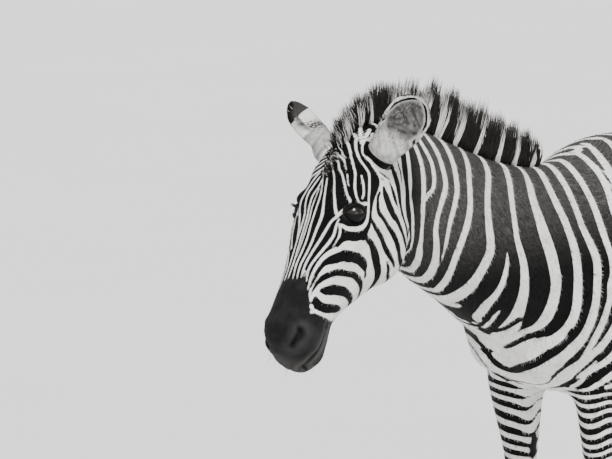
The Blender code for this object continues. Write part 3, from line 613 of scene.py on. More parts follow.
# white strokes of the neck and shoulder, left side: (y, z, half width in mm)
neckWhites = [
    [(-.81, 1.36, 6), (-.79, 1.33, 6), (-.79, 1.29, 6), (-.785, 1.26, 6), (-.787, 1.225, 8), (-.78, 1.19, 7),
     (-.755, 1.16, 4), (-.73, 1.115, 3.5), (-.70, 1.08, 3), (-.68, 1.05, 2)],
    [(-.735, 1.36, 6), (-.75, 1.335, 6), (-.757, 1.3, 6), (-.76, 1.27, 6), (-.762, 1.24, 4.5),
     (-.755, 1.212, 4), (-.745, 1.178, 4), (-.735, 1.152, 3), (-.72, 1.118, 2)],
    [(-.72, 1.36, 7), (-.713, 1.335, 7), (-.712, 1.3, 7), (-.716, 1.27, 7), (-.72, 1.243, 7),
     (-.722, 1.215, 6.5), (-.72, 1.19, 5), (-.715, 1.16, 4), (-.705, 1.125, 5.5), (-.694, 1.1, 7.5),
     (-.68, 1.072, 8.5), (-.668, 1.05, 7)],
    [(-.685, 1.36, 7), (-.682, 1.335, 7), (-.674, 1.305, 7), (-.675, 1.28, 7), (-.682, 1.255, 6),
     (-.69, 1.243, 5), (-.705, 1.235, 5), (-.715, 1.225, 4)],
    [(-.64, 1.355, 8), (-.637, 1.325, 9), (-.636, 1.3, 8.5), (-.638, 1.27, 8.5), (-.642, 1.245, 8),
     (-.655, 1.225, 8), (-.668, 1.205, 7), (-.677, 1.18, 6.5), (-.678, 1.155, 6.5), (-.668, 1.125, 7.5),
     (-.657, 1.095, 8.5), (-.647, 1.065, 10), (-.635, 1.035, 12), (-.625, 1.01, 10)],
    [(-.57, 1.34, 9), (-.58, 1.32, 10), (-.587, 1.29, 9.5), (-.594, 1.265, 9), (-.603, 1.235, 8.5),
     (-.617, 1.208, 7.5), (-.632, 1.18, 7), (-.64, 1.155, 6), (-.642, 1.125, 5), (-.64, 1.1, 2)],
    [(-.49, 1.315, 7), (-.51, 1.295, 8.5), (-.53, 1.27, 9), (-.548, 1.245, 9), (-.56, 1.215, 9),
     (-.57, 1.185, 9.5), (-.583, 1.155, 10), (-.596, 1.125, 10), (-.604, 1.095, 9.5), (-.605, 1.065, 9),
     (-.6, 1.035, 9.5), (-.592, 1.015, 10), (-.58, .998, 9)],
    [(-.40, 1.29, 8), (-.425, 1.275, 9.5), (-.45, 1.25, 10), (-.475, 1.228, 10), (-.497, 1.2, 10),
     (-.507, 1.17, 11), (-.51, 1.14, 12), (-.507, 1.11, 12.5), (-.508, 1.085, 13), (-.518, 1.06, 13.5),
     (-.527, 1.035, 14), (-.534, 1.01, 17), (-.54, .986, 20), (-.533, .968, 20), (-.515, .953, 15)],
    [(-.455, 1.08, 1.5), (-.452, 1.06, 4.5), (-.453, 1.035, 7), (-.455, 1.005, 8.5), (-.46, .98, 10),
     (-.465, .96, 13), (-.46, .943, 13), (-.45, .925, 11), (-.43, .91, 6)],
    [(-.427, .938, 3), (-.424, .922, 5.5), (-.415, .905, 5.5), (-.405, .892, 5)],
    [(-.31, 1.262, 8), (-.335, 1.25, 10), (-.36, 1.235, 10), (-.385, 1.21, 10), (-.403, 1.185, 9.5),
     (-.413, 1.155, 9), (-.417, 1.125, 9), (-.417, 1.1, 9), (-.408, 1.07, 10), (-.4, 1.045, 11),
     (-.393, 1.01, 12.5), (-.388, .98, 14), (-.385, .95, 16), (-.38, .92, 19), (-.372, .895, 24),
     (-.36, .87, 24), (-.345, .853, 18)],
    [(-.24, 1.245, 6), (-.262, 1.234, 7), (-.285, 1.213, 9.5), (-.305, 1.19, 13), (-.317, 1.165, 14.5),
     (-.32, 1.135, 17), (-.318, 1.105, 19), (-.312, 1.075, 19), (-.306, 1.05, 18), (-.3, 1.02, 17),
     (-.294, .99, 16.5), (-.295, .96, 16.5), (-.298, .93, 17.5), (-.303, .905, 17), (-.315, .885, 12),
     (-.335, .877, 8)],
    [(-.16, 1.232, 7), (-.185, 1.224, 9), (-.21, 1.205, 11.5), (-.225, 1.18, 13), (-.23, 1.15, 13),
     (-.228, 1.12, 13), (-.226, 1.09, 13), (-.223, 1.06, 14), (-.222, 1.03, 14), (-.223, 1.0, 13.5),
     (-.226, .965, 13), (-.23, .93, 12.5), (-.237, .9, 12), (-.25, .873, 12.5), (-.267, .852, 14),
     (-.287, .84, 14)],
    [(-.1, 1.228, 7), (-.125, 1.218, 10), (-.145, 1.2, 11), (-.157, 1.175, 11), (-.165, 1.15, 11),
     (-.17, 1.12, 11), (-.172, 1.1, 11), (-.167, 1.075, 11.5), (-.161, 1.05, 12), (-.158, 1.02, 12),
     (-.163, .99, 12), (-.17, .96, 12), (-.176, .93, 12), (-.185, .9, 13.5), (-.197, .87, 14),
     (-.208, .845, 15), (-.222, .822, 18), (-.24, .803, 20), (-.258, .785, 18)],
    [(-.04, 1.23, 8), (-.06, 1.222, 10), (-.078, 1.203, 11), (-.088, 1.18, 11), (-.096, 1.15, 11),
     (-.103, 1.12, 10.5), (-.11, 1.085, 10.5), (-.111, 1.05, 10), (-.11, 1.02, 9), (-.117, .985, 8),
     (-.128, .96, 9), (-.13, .93, 9), (-.14, .9, 11), (-.153, .87, 12), (-.167, .84, 12.5),
     (-.176, .815, 9)],
    [(.02, 1.238, 7), (-.003, 1.23, 9), (-.012, 1.205, 9.5), (-.02, 1.18, 10), (-.03, 1.155, 10),
     (-.045, 1.125, 10), (-.055, 1.09, 10.5), (-.062, 1.05, 10.5), (-.065, 1.0, 11), (-.07, .95, 12),
     (-.085, .9, 12), (-.105, .86, 12.5), (-.125, .83, 14), (-.15, .805, 14), (-.18, .782, 14),
     (-.2, .765, 14)],
]

# dark lines behind the cheek, laid over the whites there: (y, z, half width in mm)
napeDarks = [
    [(-.772, 1.34, 8), (-.77, 1.3, 8.5), (-.772, 1.27, 6.5), (-.769, 1.23, 6), (-.763, 1.2, 5),
     (-.757, 1.18, 3)],
    [(-.825, 1.3, 5), (-.818, 1.27, 6), (-.812, 1.24, 6.5), (-.8, 1.21, 6.5), (-.79, 1.18, 5)],
    [(-.732, 1.34, 8), (-.733, 1.3, 8), (-.737, 1.275, 5), (-.739, 1.26, 2)],
]

# the strokes behind the shoulder and over the haunch, which turn back round the flank
bodyWhites = [
    [(.06, 1.25, 7), (.035, 1.23, 10), (.015, 1.19, 12), (0, 1.14, 13), (-.01, 1.06, 13), (-.015, .97, 13),
     (-.03, .9, 13), (-.05, .855, 12), (-.075, .815, 10), (-.1, .785, 9), (-.125, .768, 8),
     (-.142, .755, 8), (-.14, .735, 6)],
    [(.12, 1.255, 8), (.09, 1.225, 12), (.065, 1.17, 14), (.045, 1.1, 15), (.04, 1.02, 15), (.035, .94, 15),
     (.015, .87, 14), (-.015, .815, 12), (-.05, .773, 10), (-.09, .745, 8), (-.115, .725, 6),
     (-.125, .71, 5)],
    [(.1, .83, 9), (.065, .78, 10), (.02, .745, 9), (-.03, .728, 7), (-.075, .722, 6), (-.1, .716, 5)],
    [(.19, 1.26, 9), (.155, 1.22, 13), (.13, 1.16, 16), (.11, 1.08, 18), (.105, .99, 19), (.11, .9, 18),
     (.12, .82, 15), (.12, .765, 12), (.08, .725, 9), (.03, .705, 8), (-.02, .698, 6)],
    [(.275, 1.265, 10), (.235, 1.215, 14), (.205, 1.15, 17), (.18, 1.06, 19), (.175, .97, 20),
     (.185, .88, 18), (.2, .8, 15), (.215, .73, 13), (.23, .68, 12)],
    [(.375, 1.27, 11), (.33, 1.22, 15), (.29, 1.15, 18), (.26, 1.07, 20), (.25, .98, 20), (.26, .88, 18),
     (.28, .8, 15), (.3, .73, 12), (.32, .68, 11)],
    [(.485, 1.275, 12), (.44, 1.23, 16), (.39, 1.165, 19), (.35, 1.09, 21), (.33, 1.0, 20), (.335, .9, 18),
     (.36, .82, 15), (.39, .75, 12), (.41, .7, 11)],
    [(.61, 1.265, 13), (.56, 1.235, 17), (.5, 1.18, 20), (.45, 1.11, 21), (.42, 1.03, 20),
     (.415, .94, 18), (.435, .86, 15), (.465, .79, 12), (.49, .74, 10)],
    [(.73, 1.24, 14), (.67, 1.215, 18), (.605, 1.17, 20), (.55, 1.12, 21), (.51, 1.05, 20),
     (.495, .97, 18), (.51, .89, 15), (.545, .82, 12), (.58, .77, 10)],
    [(.84, 1.19, 15), (.78, 1.17, 18), (.71, 1.135, 20), (.65, 1.09, 20), (.6, 1.03, 19), (.58, .965, 17),
     (.59, .9, 14), (.62, .85, 11), (.65, .81, 9)],
    [(.93, 1.13, 15), (.87, 1.11, 18), (.8, 1.08, 19), (.74, 1.04, 19), (.69, .99, 18), (.665, .935, 15),
     (.675, .885, 12), (.7, .85, 9)],
    [(.99, 1.05, 14), (.93, 1.04, 17), (.87, 1.015, 18), (.81, .98, 18), (.765, .94, 16),
     (.745, .9, 13), (.75, .865, 9)],
    [(1.0, .965, 13), (.94, .955, 15), (.88, .935, 16), (.83, .905, 15), (.79, .865, 13),
     (.755, .825, 12), (.715, .79, 11), (.68, .765, 9)],
    [(1.0, .885, 12), (.94, .88, 14), (.885, .86, 14), (.835, .825, 13), (.79, .79, 12), (.745, .76, 11),
     (.7, .735, 9)],
    [(1.0, .81, 11), (.94, .808, 13), (.88, .79, 13), (.83, .76, 12), (.785, .73, 11), (.74, .705, 10)],
]

# pale breast ground, then the dark bands that cross it: (x, z, half width in mm), seen from the front
breastWhites = [
    [(-.1, .8, 38), (-.06, .765, 42), (0, .75, 45), (.06, .765, 45), (.11, .8, 35)],
    [(-.035, .885, 26), (-.01, .85, 34), (.03, .85, 30), (.07, .85, 24)],
    [(-.04, .972, 12), (-.015, .962, 15), (.008, .957, 12)],
    [(-.03, .84, 24), (.02, .812, 22), (.06, .825, 20), (.1, .845, 16)],
    [(0, .72, 24), (.05, .725, 26), (.1, .75, 26), (.14, .77, 22)],
    [(-.12, .8, 20), (-.11, .76, 22), (-.07, .73, 20)],
]
breastDarks = [
    [(.013, .828, 5), (.03, .836, 8), (.05, .847, 9), (.07, .858, 9.5), (.09, .867, 9.5), (.11, .875, 9.5),
     (.128, .89, 10), (.14, .915, 10)],
    [(-.125, .85, 9), (-.1, .85, 9.5), (-.08, .845, 9.5), (-.063, .835, 9), (-.048, .818, 8.5),
     (-.038, .795, 8.5), (-.025, .775, 11), (-.01, .766, 12.5), (.005, .765, 12.5), (.02, .771, 12),
     (.04, .78, 12), (.06, .788, 11.5), (.08, .798, 11.5), (.1, .812, 12), (.12, .827, 12), (.135, .845, 11),
     (.146, .868, 10)],
    [(-.12, .828, 3), (-.1, .82, 3.5), (-.08, .805, 3.5), (-.068, .785, 3.5), (-.06, .765, 3),
     (-.057, .752, 2)],
    [(-.055, .722, 4), (-.03, .724, 5), (-.005, .726, 4), (.02, .722, 3), (.05, .728, 3), (.07, .74, 3.5),
     (.09, .756, 4.5), (.11, .774, 5.5), (.13, .793, 6), (.145, .812, 6.5)],
    [(.06, .697, 2.5), (.08, .715, 3), (.1, .735, 4), (.12, .756, 5), (.14, .776, 6), (.155, .795, 6)],
    [(-.012, .912, 4), (0, .9, 5), (.012, .885, 6), (.025, .88, 7), (.045, .885, 8), (.065, .895, 9),
     (.085, .91, 10)],
    [(0, .922, 3), (.015, .906, 4), (.03, .908, 5), (.045, .918, 5.5)],
    [(-.02, .7, 12), (.005, .708, 12), (.02, .702, 10)],
]


def markBody(body, charts):
    # the signed distance to the nearest edge between white and dark, positive in white
    mesh = body.data
    points = pointsOf(mesh)
    local = inHead(points)
    down = local[:, 2]
    turn = np.degrees(np.arctan2(local[:, 0], local[:, 1] - axisHeight(down)))
    around = np.abs(turn)
    onHead = (down > -0.03) & (points[:, 1] < -0.793) & (np.hypot(local[:, 0], local[:, 1] + 0.1) < 0.21)

    white = np.full(len(points), reach)          # negative inside a white stroke
    dark = np.full(len(points), reach)           # the same for the darks laid over

    def lay(target, strokes, chart, sides, step, mask=None, shape=None):
        for rows in strokes:
            for side in sides:
                run = strokeOn(chart, shape(rows, side) if shape else rows, side, step)
                if run is None:
                    continue
                if shape:
                    run = carryOver(charts, run)
                gap = distanceTo(points, run, reach)
                if mask is not None:
                    gap = np.where(mask, gap, reach)
                np.minimum(target, gap, out=target)

    # face and cheeks; the far cheek mirrors the near one
    thicker = [[(a, b, w * 1.12 + 0.35) for a, b, w in rows] for rows in faceWhites]
    lay(white, thicker, charts.head, (1,), 0.9, onHead)
    farSide = [rows for rows in thicker if min(row[0] for row in rows) > 14
               or max(row[0] for row in rows) > 40]
    lay(white, farSide, lambda a, b, s: charts.head(a, b, s) if a > 27 else None, (-1,), 0.9, onHead)
    bound = np.interp(down, *zip(*paleFrom))
    cheek = np.maximum((bound - around) * 0.0013, -reach)
    white = np.where(onHead, np.minimum(white, cheek), white)
    # the darks that reach the jaw run on underneath it
    runOn = []
    for rows in cheekDarks:
        turnEnd, downEnd, width = rows[-1]
        reachesJaw = turnEnd > 92
        runOn.append(rows + [(turnEnd + 12, downEnd + 0.012, width * 0.85)] if reachesJaw else rows)
    lay(dark, runOn, charts.head, (1, -1), 0.9, onHead)

    # neck and trunk, then the breast
    offHead = ~onHead

    def sway(rows, side):
        # the far side is not a mirror image: its stripes wander a little
        if side > 0:
            return rows
        return [(y + 0.012 * math.sin(9 * z + 5 * y), z + 0.006 * math.sin(12 * y), width)
                for y, z, width in rows]

    trunk = offHead & ((points[:, 2] > 0.68) | (points[:, 1] > 0.3))
    lay(white, neckWhites, charts.flank, (1, -1), 0.004, trunk, sway)
    lay(white, bodyWhites, charts.flank, (1, -1), 0.006, trunk, sway)
    chest = offHead & (points[:, 1] < -0.13) & (points[:, 2] > 0.66)
    lay(white, breastWhites, charts.front, (1,), 0.005, chest)
    lay(dark, breastDarks, charts.front, (1,), 0.005, chest)

    lay(dark, napeDarks, charts.flank, (1, -1), 0.004, None, sway)

    sd = np.minimum(-white, dark)

    # leg rings: bands across z that rise a little to the rear, closer together lower down
    x, y, z = points.T
    foreLeg = (z < 0.74) & (y < 0.2)
    hindLeg = (z < 0.80) & (y > 0.6)
    drift = 0.008 * np.sin(31 * z + 3 * np.sign(x)) + 0.006 * np.sin(70 * y + 23 * z + 2 * np.sign(x))
    knots = [0, .08, .2, .3, .42, .55, .68, .8]
    ring = np.interp(z + drift - 0.16 * (y + 0.03), knots,
                     [0, 3.1, 7.6, 10.9, 15.5, 20.8, 26.6, 31.4])
    farFore = np.interp(z + drift - 0.1 * (y + 0.03) + 0.22 * (x + 0.1), knots,
                        [0, 2.9, 7.2, 10.4, 14.6, 18.8, 23.4, 27.5])
    hindRing = np.interp(z + drift - 0.24 * (y - 0.8), knots, [0, 2.9, 7.0, 9.8, 13.2, 16.2, 18.6, 20.6])
    ring = np.where(hindLeg, hindRing, np.where(x < 0, farFore, ring))
    pitch = np.where(hindLeg, 0.036, np.where(x < 0, 0.029, 0.0235))
    wave = np.abs(ring - np.floor(ring) - 0.5)   # nought in the middle of a white ring
    legSd = (0.215 - wave) * pitch * 1.1
    # the inner sides are plainer: the dark rings thin out there
    inner = np.where(x > 0, 1, -1) * (x - np.where(y > 0.5, 0.112, 0.10) * np.sign(x))
    legSd = legSd + smoothStep(-inner, 0.014, 0.042) * 0.007
    share = np.where(foreLeg, smoothStep(-z, -0.725, -0.695), 0) + \
        np.where(hindLeg, smoothStep(-z, -0.745, -0.70), 0)
    sd = sd * (1 - share) + legSd * share

    # the dark callus on the inner side of each foreleg
    callus = np.linalg.norm((points - np.stack([0.062 * np.sign(x), x * 0 - 0.03, x * 0 + 0.53], 1))
                            * (1, 1, 0.5), axis=1) - 0.019
    sd = np.minimum(sd, callus)

    # the far ear stands on pale ground
    offset = local - (-ear["root"][0], ear["root"][1], ear["root"][2])
    sd = np.maximum(sd, 0.034 - np.linalg.norm(offset, axis=1))

    # the pale belly and the dark line along its middle
    under = (y > -0.12) & (y < 0.62) & (z < 0.80)
    normal = normalsOf(mesh)
    belly = under & (normal[:, 2] < -0.82) & (np.abs(x) < 0.09)
    sd = np.where(belly, np.maximum(sd, (np.abs(x) - 0.014)), sd)
    return sd, local, turn, onHead


# face details, all in the head's own frame
eye = dict(side=0.0740, out=-0.0220, down=0.1790, radius=0.0215, gaze=(0.86, 0.50, -0.06),
           bareLong=0.0285, bareShort=0.0205)
nostril = [(42, .447, 4), (46.5, .452, 6.5), (47, .460, 6.5), (44.5, .469, 4.5), (41, .479, 2.5)]
mouth = [(97, .408, 2), (101, .425, 2.5), (105, .442, 2.5), (107, .460, 2.5), (109, .474, 2.5),
         (113, .487, 2.5), (122, .497, 2.5), (140, .503, 2.5), (160, .505, 2.5), (180, .506, 2.5)]


def bell(distance, width):
    return np.exp(-(distance / width) ** 2)


def sculptFace(body, charts):
    mesh = body.data
    points, normals = pointsOf(mesh), normalsOf(mesh)
    local = inHead(points)
    away = local.copy()
    away[:, 1] -= axisHeight(local[:, 2])
    push = np.zeros(len(points))
    for side in (1, -1):
        offset = local - (eye["side"] * side, eye["out"], eye["down"])
        # a ridge of bone over the eye, a hollow above it, and the long crest below
        push += 0.0050 * bell(np.linalg.norm((offset - (-0.004 * side, 0.012, -0.024)) * (1, 1, 0.9), axis=1),
                              0.015)
        push -= 0.0050 * bell(np.linalg.norm(offset - (-0.010 * side, 0.004, -0.056), axis=1), 0.020)
        for rows, depth, width in ((crest, 0.0036, 0.010), (cheekEdge, 0.0030, 0.014),
                                   (faceVein, 0.0013, 0.0045)):
            run = strokeOn(charts.head, rows, side, 1.0)
            push += depth * bell(distanceTo(points, run, 0.05), width)
        run = strokeOn(charts.head, nostril, side, 0.8)
        gap = distanceTo(points, run, 0.05)
        push += 0.0028 * bell(gap - 0.009, 0.010) - 0.015 * bell(np.maximum(gap + 0.004, 0), 0.0055)
        run = strokeOn(charts.head, mouth, side, 0.8)
        gap = distanceTo(points, run, 0.05)
        push += 0.0022 * bell(gap - 0.011, 0.009) - 0.0085 * bell(np.maximum(gap + 0.002, 0), 0.0036)
        push += 0.0040 * bell(np.linalg.norm(local - (0.050 * side, 0.0, 0.085), axis=1), 0.040)
    push += 0.0065 * bell(local[:, 2] - 0.455, 0.045)
    onFace = (local[:, 2] > 0.0) & (points[:, 1] < -0.70)
    moved = points + normals * np.where(onFace, push, 0)[:, None]
    # the eye sockets: the skin is drawn back from a ball a little larger than the eye
    for side in (1, -1):
        centre = np.array(headFrame @ Vector((eye["side"] * side, eye["out"], eye["down"])))
        offset = moved - centre
        far = np.linalg.norm(offset, axis=1)
        gaze = Vector((eye["gaze"][0] * side, *eye["gaze"][1:]))
        outward = np.array((headFrame.to_3x3() @ gaze).normalized())
        height = offset @ outward
        aside = np.linalg.norm(offset - height[:, None] * outward, axis=1)
        inside = (height > 0.002) & (far < 0.036)
        depth = smoothStep(-aside, -0.0205, -0.0150) * 0.016
        moved -= outward * np.where(inside, depth, 0)[:, None]
    setPoints(mesh, moved)
    print("face sculpted")


crest = [(66, .215, 4), (63, .245, 5), (60, .275, 5), (57, .305, 4), (55, .325, 2)]
cheekEdge = [(88, .045, 6), (108, .085, 7), (122, .135, 7), (130, .185, 7), (134, .23, 6), (130, .265, 5)]
faceVein = [(60, .24, 2), (57, .29, 2), (54, .34, 2), (60, .38, 2), (66, .42, 1.5)]

# the ears: thin cups lofted along their own axis
ear = dict(root=(0.058, -0.056, 0.038), axis=(0.68, 0.31, -0.665), farAxis=(0.745, 0.33, -0.63),
           length=0.170, around=60, farWidth=0.86,
           faceLeft=(0.43, 0.63, 0.65), faceRight=(0.68, -0.34, 0.57),
           profile=[(-.16, .022, .022), (0, .030, .028), (.18, .034, .031), (.38, .041, .034),
                    (.58, .0460, .031), (.78, .0440, .026), (.90, .0350, .018), (.965, .0210, .011),
                    (1.0, .006, .004)])


def earAxes(side):
    lean = ear["axis"] if side > 0 else ear["farAxis"]
    axis = Vector((lean[0] * side, lean[1], lean[2])).normalized()
    face = ear["faceLeft"] if side > 0 else ear["faceRight"]
    facing = Vector((face[0] * side, face[1], face[2]))
    facing = (facing - axis * facing.dot(axis)).normalized()
    return axis, facing, axis.cross(facing)


def makeEar(side):
    axis, facing, across = earAxes(side)
    root = Vector((ear["root"][0] * side, ear["root"][1], ear["root"][2]))
    rows = catmull(ear["profile"], 0.025)
    bm = bmesh.new()
    rings = []
    for share, wide, deep in rows:
        if side < 0:
            # the far ear is narrower, with a sharper tip
            wide *= ear["farWidth"] * (1 - 0.3 * float(smoothStep(share, 0.7, 0.97)))
        cup = float(smoothStep(share, 0.16, 0.42))
        cupBack = 0.90 - 0.05 * cup
        middle = root + axis * (share * ear["length"]) + facing * (0.010 * math.sin(share * 3))
        ring = []
        for k in range(ear["around"]):
            angle = tau * k / ear["around"]
            sideways, front = math.cos(angle), math.sin(angle)
            if front > 0:
                # the opening: the front wall folds back to line the inside of the back wall
                sideways *= 1 + (cupBack - 1) * cup
                front *= (1 - cup) - 0.76 * cup
            ring.append(bm.verts.new(headFrame @ (middle + across * (wide * sideways)
                                                  + facing * (deep * front))))
        rings.append(ring)
    for low, high in zip(rings, rings[1:]):
        for k in range(ear["around"]):
            n = (k + 1) % ear["around"]
            bm.faces.new((low[k], low[n], high[n], high[k]))
    bm.faces.new(rings[0])
    bm.faces.new(rings[-1])
    bmesh.ops.recalc_face_normals(bm, faces=bm.faces)
    return pieceFromBmesh("earForm", bm)


def joinEars(body):
    for side in (1, -1):
        part = makeEar(side)
        union = body.modifiers.new("ear", "BOOLEAN")
        union.operation = "UNION"
        union.object = part
        applyModifiers(body)
        bpy.data.objects.remove(part)
    # the seam round each ear's root is smoothed away
    bm = bmesh.new()
    bm.from_mesh(body.data)
    bmesh.ops.remove_doubles(bm, verts=bm.verts, dist=0.0004)
    for side in (1, -1):
        axis, facing, across = earAxes(side)
        root = Vector((ear["root"][0] * side, ear["root"][1], ear["root"][2]))
        base = headFrame @ (root + axis * 0.012)
        near = [vert for vert in bm.verts if (vert.co - base).length < 0.048]
        for turn in range(6):
            bmesh.ops.smooth_vert(bm, verts=near, factor=0.5, use_axis_x=True, use_axis_y=True,
                                  use_axis_z=True)
    bm.to_mesh(body.data)
    bm.free()
    body.data.shade_smooth()
    print("ears joined:", len(body.data.vertices), "points")


def markEars(points, sd, sheenAndEarGrey):
    # each ear: a pale fringe with a dark line inside it, a dark tip and rear band, grey in the hollow
    local = inHead(points)
    inEar = np.zeros(len(points), bool)
    hollow = np.zeros(len(points))
    for side in (1, -1):
        axis, facing, across = (np.array(v) for v in earAxes(side))
        offset = local - (ear["root"][0] * side, ear["root"][1], ear["root"][2])
        share = offset @ axis / ear["length"]
        sideways, front = offset @ across, offset @ facing
        rows = np.array(ear["profile"])
        wide = np.interp(share, rows[:, 0], rows[:, 1])
        deep = np.interp(share, rows[:, 0], rows[:, 2])
        front = front - 0.010 * np.sin(share * 3)
        here = (share > 0.10) & (share < 1.1) & (np.abs(sideways) < wide + 0.006)
        here &= np.abs(front) < deep + 0.01
        rim = np.abs(sideways) / wide
        arc = np.sqrt(np.clip(1 - rim ** 2, 0, 1)) * deep
        inside = here & (share > 0.2) & (front > -0.89 * arc - 0.0002) & (rim < 0.93)
        back = here & ~inside
        # the back: a dark tip, a pale band, then a speckled dark patch
        streak = 0.5 + 0.5 * np.sin(sideways * 420 + 9 * np.sin(share * 21)) * np.sin(share * 37 + 2)
        tip = (share - (0.86 if side > 0 else 0.75) + sideways * (0 if side > 0 else 2.2)) * 0.17
        speckle = 0.0010 - np.abs(share - 0.47) * 0.022
        fleck = np.sin(sideways * 1250 + share * 30) * np.sin(share * 120 + sideways * 260)
        speckle = speckle + 0.0030 * fleck
        sd[back] = np.clip(-np.maximum(tip, speckle), -0.02, 0.004)[back]
        hollow[back] = (0.62 * smoothStep(-share, -0.64, -0.44) * (0.55 + 0.45 * streak))[back]
        # the hollow: grey and hairy, with a thin dark rim that stops short of the notch
        oval = np.hypot((share - 0.60) / 0.37, rim / 0.98)
        if side > 0:
            line = np.abs(oval - 0.96) - 0.04 + smoothStep(-share, -0.50, -0.42) * 0.2
            line = line + smoothStep(share, 0.93, 0.96) * 0.2
            sd[inside] = np.clip(line - 0.035, -0.1, 0.1)[inside] * 0.05
        else:
            sd[inside] = np.where(tip > 0, -0.01, 0.01)[inside]
        clump = np.sin(sideways * 190 + 5 * np.sin(share * 17 + 1)) * np.sin(share * 23 + sideways * 60)
        depth = smoothStep(0.93 - oval, -0.02, 0.20) * smoothStep(share, 0.20, 0.45)
        hollow[inside] = (depth * (1.02 + 0.14 * clump + 0.10 * streak))[inside]
        tube = here & (share < 0.42)
        hollow[tube] = np.maximum(hollow, 0.50 + 0.26 * streak + 0.18 * clump)[tube]
        # the darks on the ear's back are greyed with the same layer that paints sheen on the neck
        sheenAndEarGrey[back] = 0.8
        inEar |= here
        sd[here & (share < 0.2)] = 0.01
    return inEar, hollow


def makeSkin():
    body = makeBareBody()

    def nearHead(middles):
        local = inHead(middles)
        return (local[:, 2] > -0.05) & (middles[:, 1] < -0.70)

    def nearDetail(middles):
        local = inHead(middles)
        nose = local[:, 2] > 0.425
        eyes = np.zeros(len(middles), bool)
        for side in (1, -1):
            gap = local - (eye["side"] * side, eye["out"], eye["down"])
            eyes |= np.linalg.norm(gap, axis=1) < 0.036
        return (nose | eyes) & (middles[:, 1] < -0.70)

    def nearLines(middles):
        local = inHead(middles)
        turn = np.degrees(np.arctan2(local[:, 0], local[:, 1] - axisHeight(local[:, 2])))
        return (np.abs(turn) < 68) & (local[:, 2] > 0.02) & (local[:, 2] < 0.38) & (middles[:, 1] < -0.70)

    def nearNeck(middles):
        return (middles[:, 1] > -0.74) & (middles[:, 1] < -0.04) & (middles[:, 2] > 0.74)

    def nearLegs(middles):
        return (middles[:, 1] < 0.15) & (middles[:, 2] < 0.74) & (middles[:, 2] > 0.25)

    refine(body, nearHead)
    charts = Charts(body.data)
    refine(body, lambda middles: nearDetail(middles) | nearLines(middles))
    refine(body, nearNeck)
    refine(body, nearLegs)
    sculptFace(body, charts)
    charts = Charts(body.data)
    joinEars(body)
    mesh = body.data
    sd, local, turn, onHead = markBody(body, charts)
    points, normals = pointsOf(mesh), normalsOf(mesh)
    around, down = np.abs(turn), local[:, 2]
    edge = np.interp(around, *zip(*muzzleFrom))
    muzzle = np.where(onHead, smoothStep(down - edge, -0.003, 0.004), 0)
    bare = np.zeros(len(points))
    # pale grey round the nostrils, along the lips and under the lower lip: partly the skin's own grey, partly
    # painted sheen
    paleGreyAndSheen = np.zeros(len(points))
    for side in (1, -1):
        gaze, longWay, shortWay = (np.array(v) for v in eyeAxes(side))
        offset = local - (eye["side"] * side, eye["out"], eye["down"])
        oval = np.hypot((offset @ longWay) / eye["bareLong"], (offset @ shortWay) / eye["bareShort"])
        oval = np.where(offset @ gaze > 0, oval, 9)
        bare = np.maximum(bare, 1 - smoothStep(oval, 0.95, 1.05))
        run = strokeOn(charts.head, nostril, side, 0.8)
        hole = distanceTo(points, run, 0.05)
        bare = np.maximum(bare, 1 - smoothStep(hole, -0.002, 0.002))
        paleGreyAndSheen = np.maximum(paleGreyAndSheen, 0.3 * bell(hole - 0.012, 0.010))
        run = strokeOn(charts.head, mouth, side, 0.8)
        lip = distanceTo(points, run, 0.05)
        bare = np.maximum(bare, 1 - smoothStep(lip, -0.001, 0.0015))
        paleGreyAndSheen = np.maximum(paleGreyAndSheen, 0.9 * bell(lip - 0.008, 0.007))
    paleGreyAndSheen = np.maximum(paleGreyAndSheen, smoothStep(down, 0.485, 0.51) * 0.5)
    y, z = points[:, 1], points[:, 2]
    # painted sheen: the dark stripes on top of the neck and back are greyed, more so higher up, as light
    # falling there makes them look
    sheenAndEarGrey = smoothStep(z, 1.0, 1.2) * smoothStep(y, -0.78, -0.66) * (1 - 0.45 * smoothStep(y, 0.1, 0.5))
    inEar, hollow = markEars(points, sd, sheenAndEarGrey)
    muzzle = np.where(inEar, np.minimum(hollow * 0.85, 1), muzzle)
    bare[inEar] = 0
    floatLayer(mesh, "marking", sd)
    floatLayer(mesh, "earHollow", hollow)
    floatLayer(mesh, "muzzle", muzzle)
    floatLayer(mesh, "bare", bare)
    floatLayer(mesh, "sheenAndEarGrey", sheenAndEarGrey)
    floatLayer(mesh, "paleGreyAndSheen", np.where(inEar, 1, paleGreyAndSheen))
    vectorLayer(mesh, "comb", combAt(points, normals))
    mesh.materials.clear()
    mesh.materials.append(coatFinish("zebraCoat"))
    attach(body, "root")
    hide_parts(*fleshNodes)
    print("skin made and marked:", len(mesh.polygons), "faces")
    return body


def combAt(points, normals):
    # the lie of the coat: down the face, back along the neck and trunk, down the legs
    downFace = np.array(headFrame.to_3x3() @ Vector((0, 0, 1)))
    flow = np.tile(np.array([0, 0.8, -0.6]), (len(points), 1))
    neckShare = smoothStep(-points[:, 1], 0.15, 0.35)[:, None]
    flow = flow * (1 - neckShare) + np.array([0, 0.35, -0.92]) * neckShare
    legShare = smoothStep(-points[:, 2], -0.78, -0.66)[:, None]
    flow = flow * (1 - legShare) + np.array([0, 0.12, -1.0]) * legShare
    headShare = (smoothStep(-points[:, 1], 0.72, 0.78))[:, None]
    flow = flow * (1 - headShare) + downFace * headShare
    flow -= normals * (flow * normals).sum(1)[:, None]
    return flow / (np.linalg.norm(flow, axis=1)[:, None] + 1e-9)


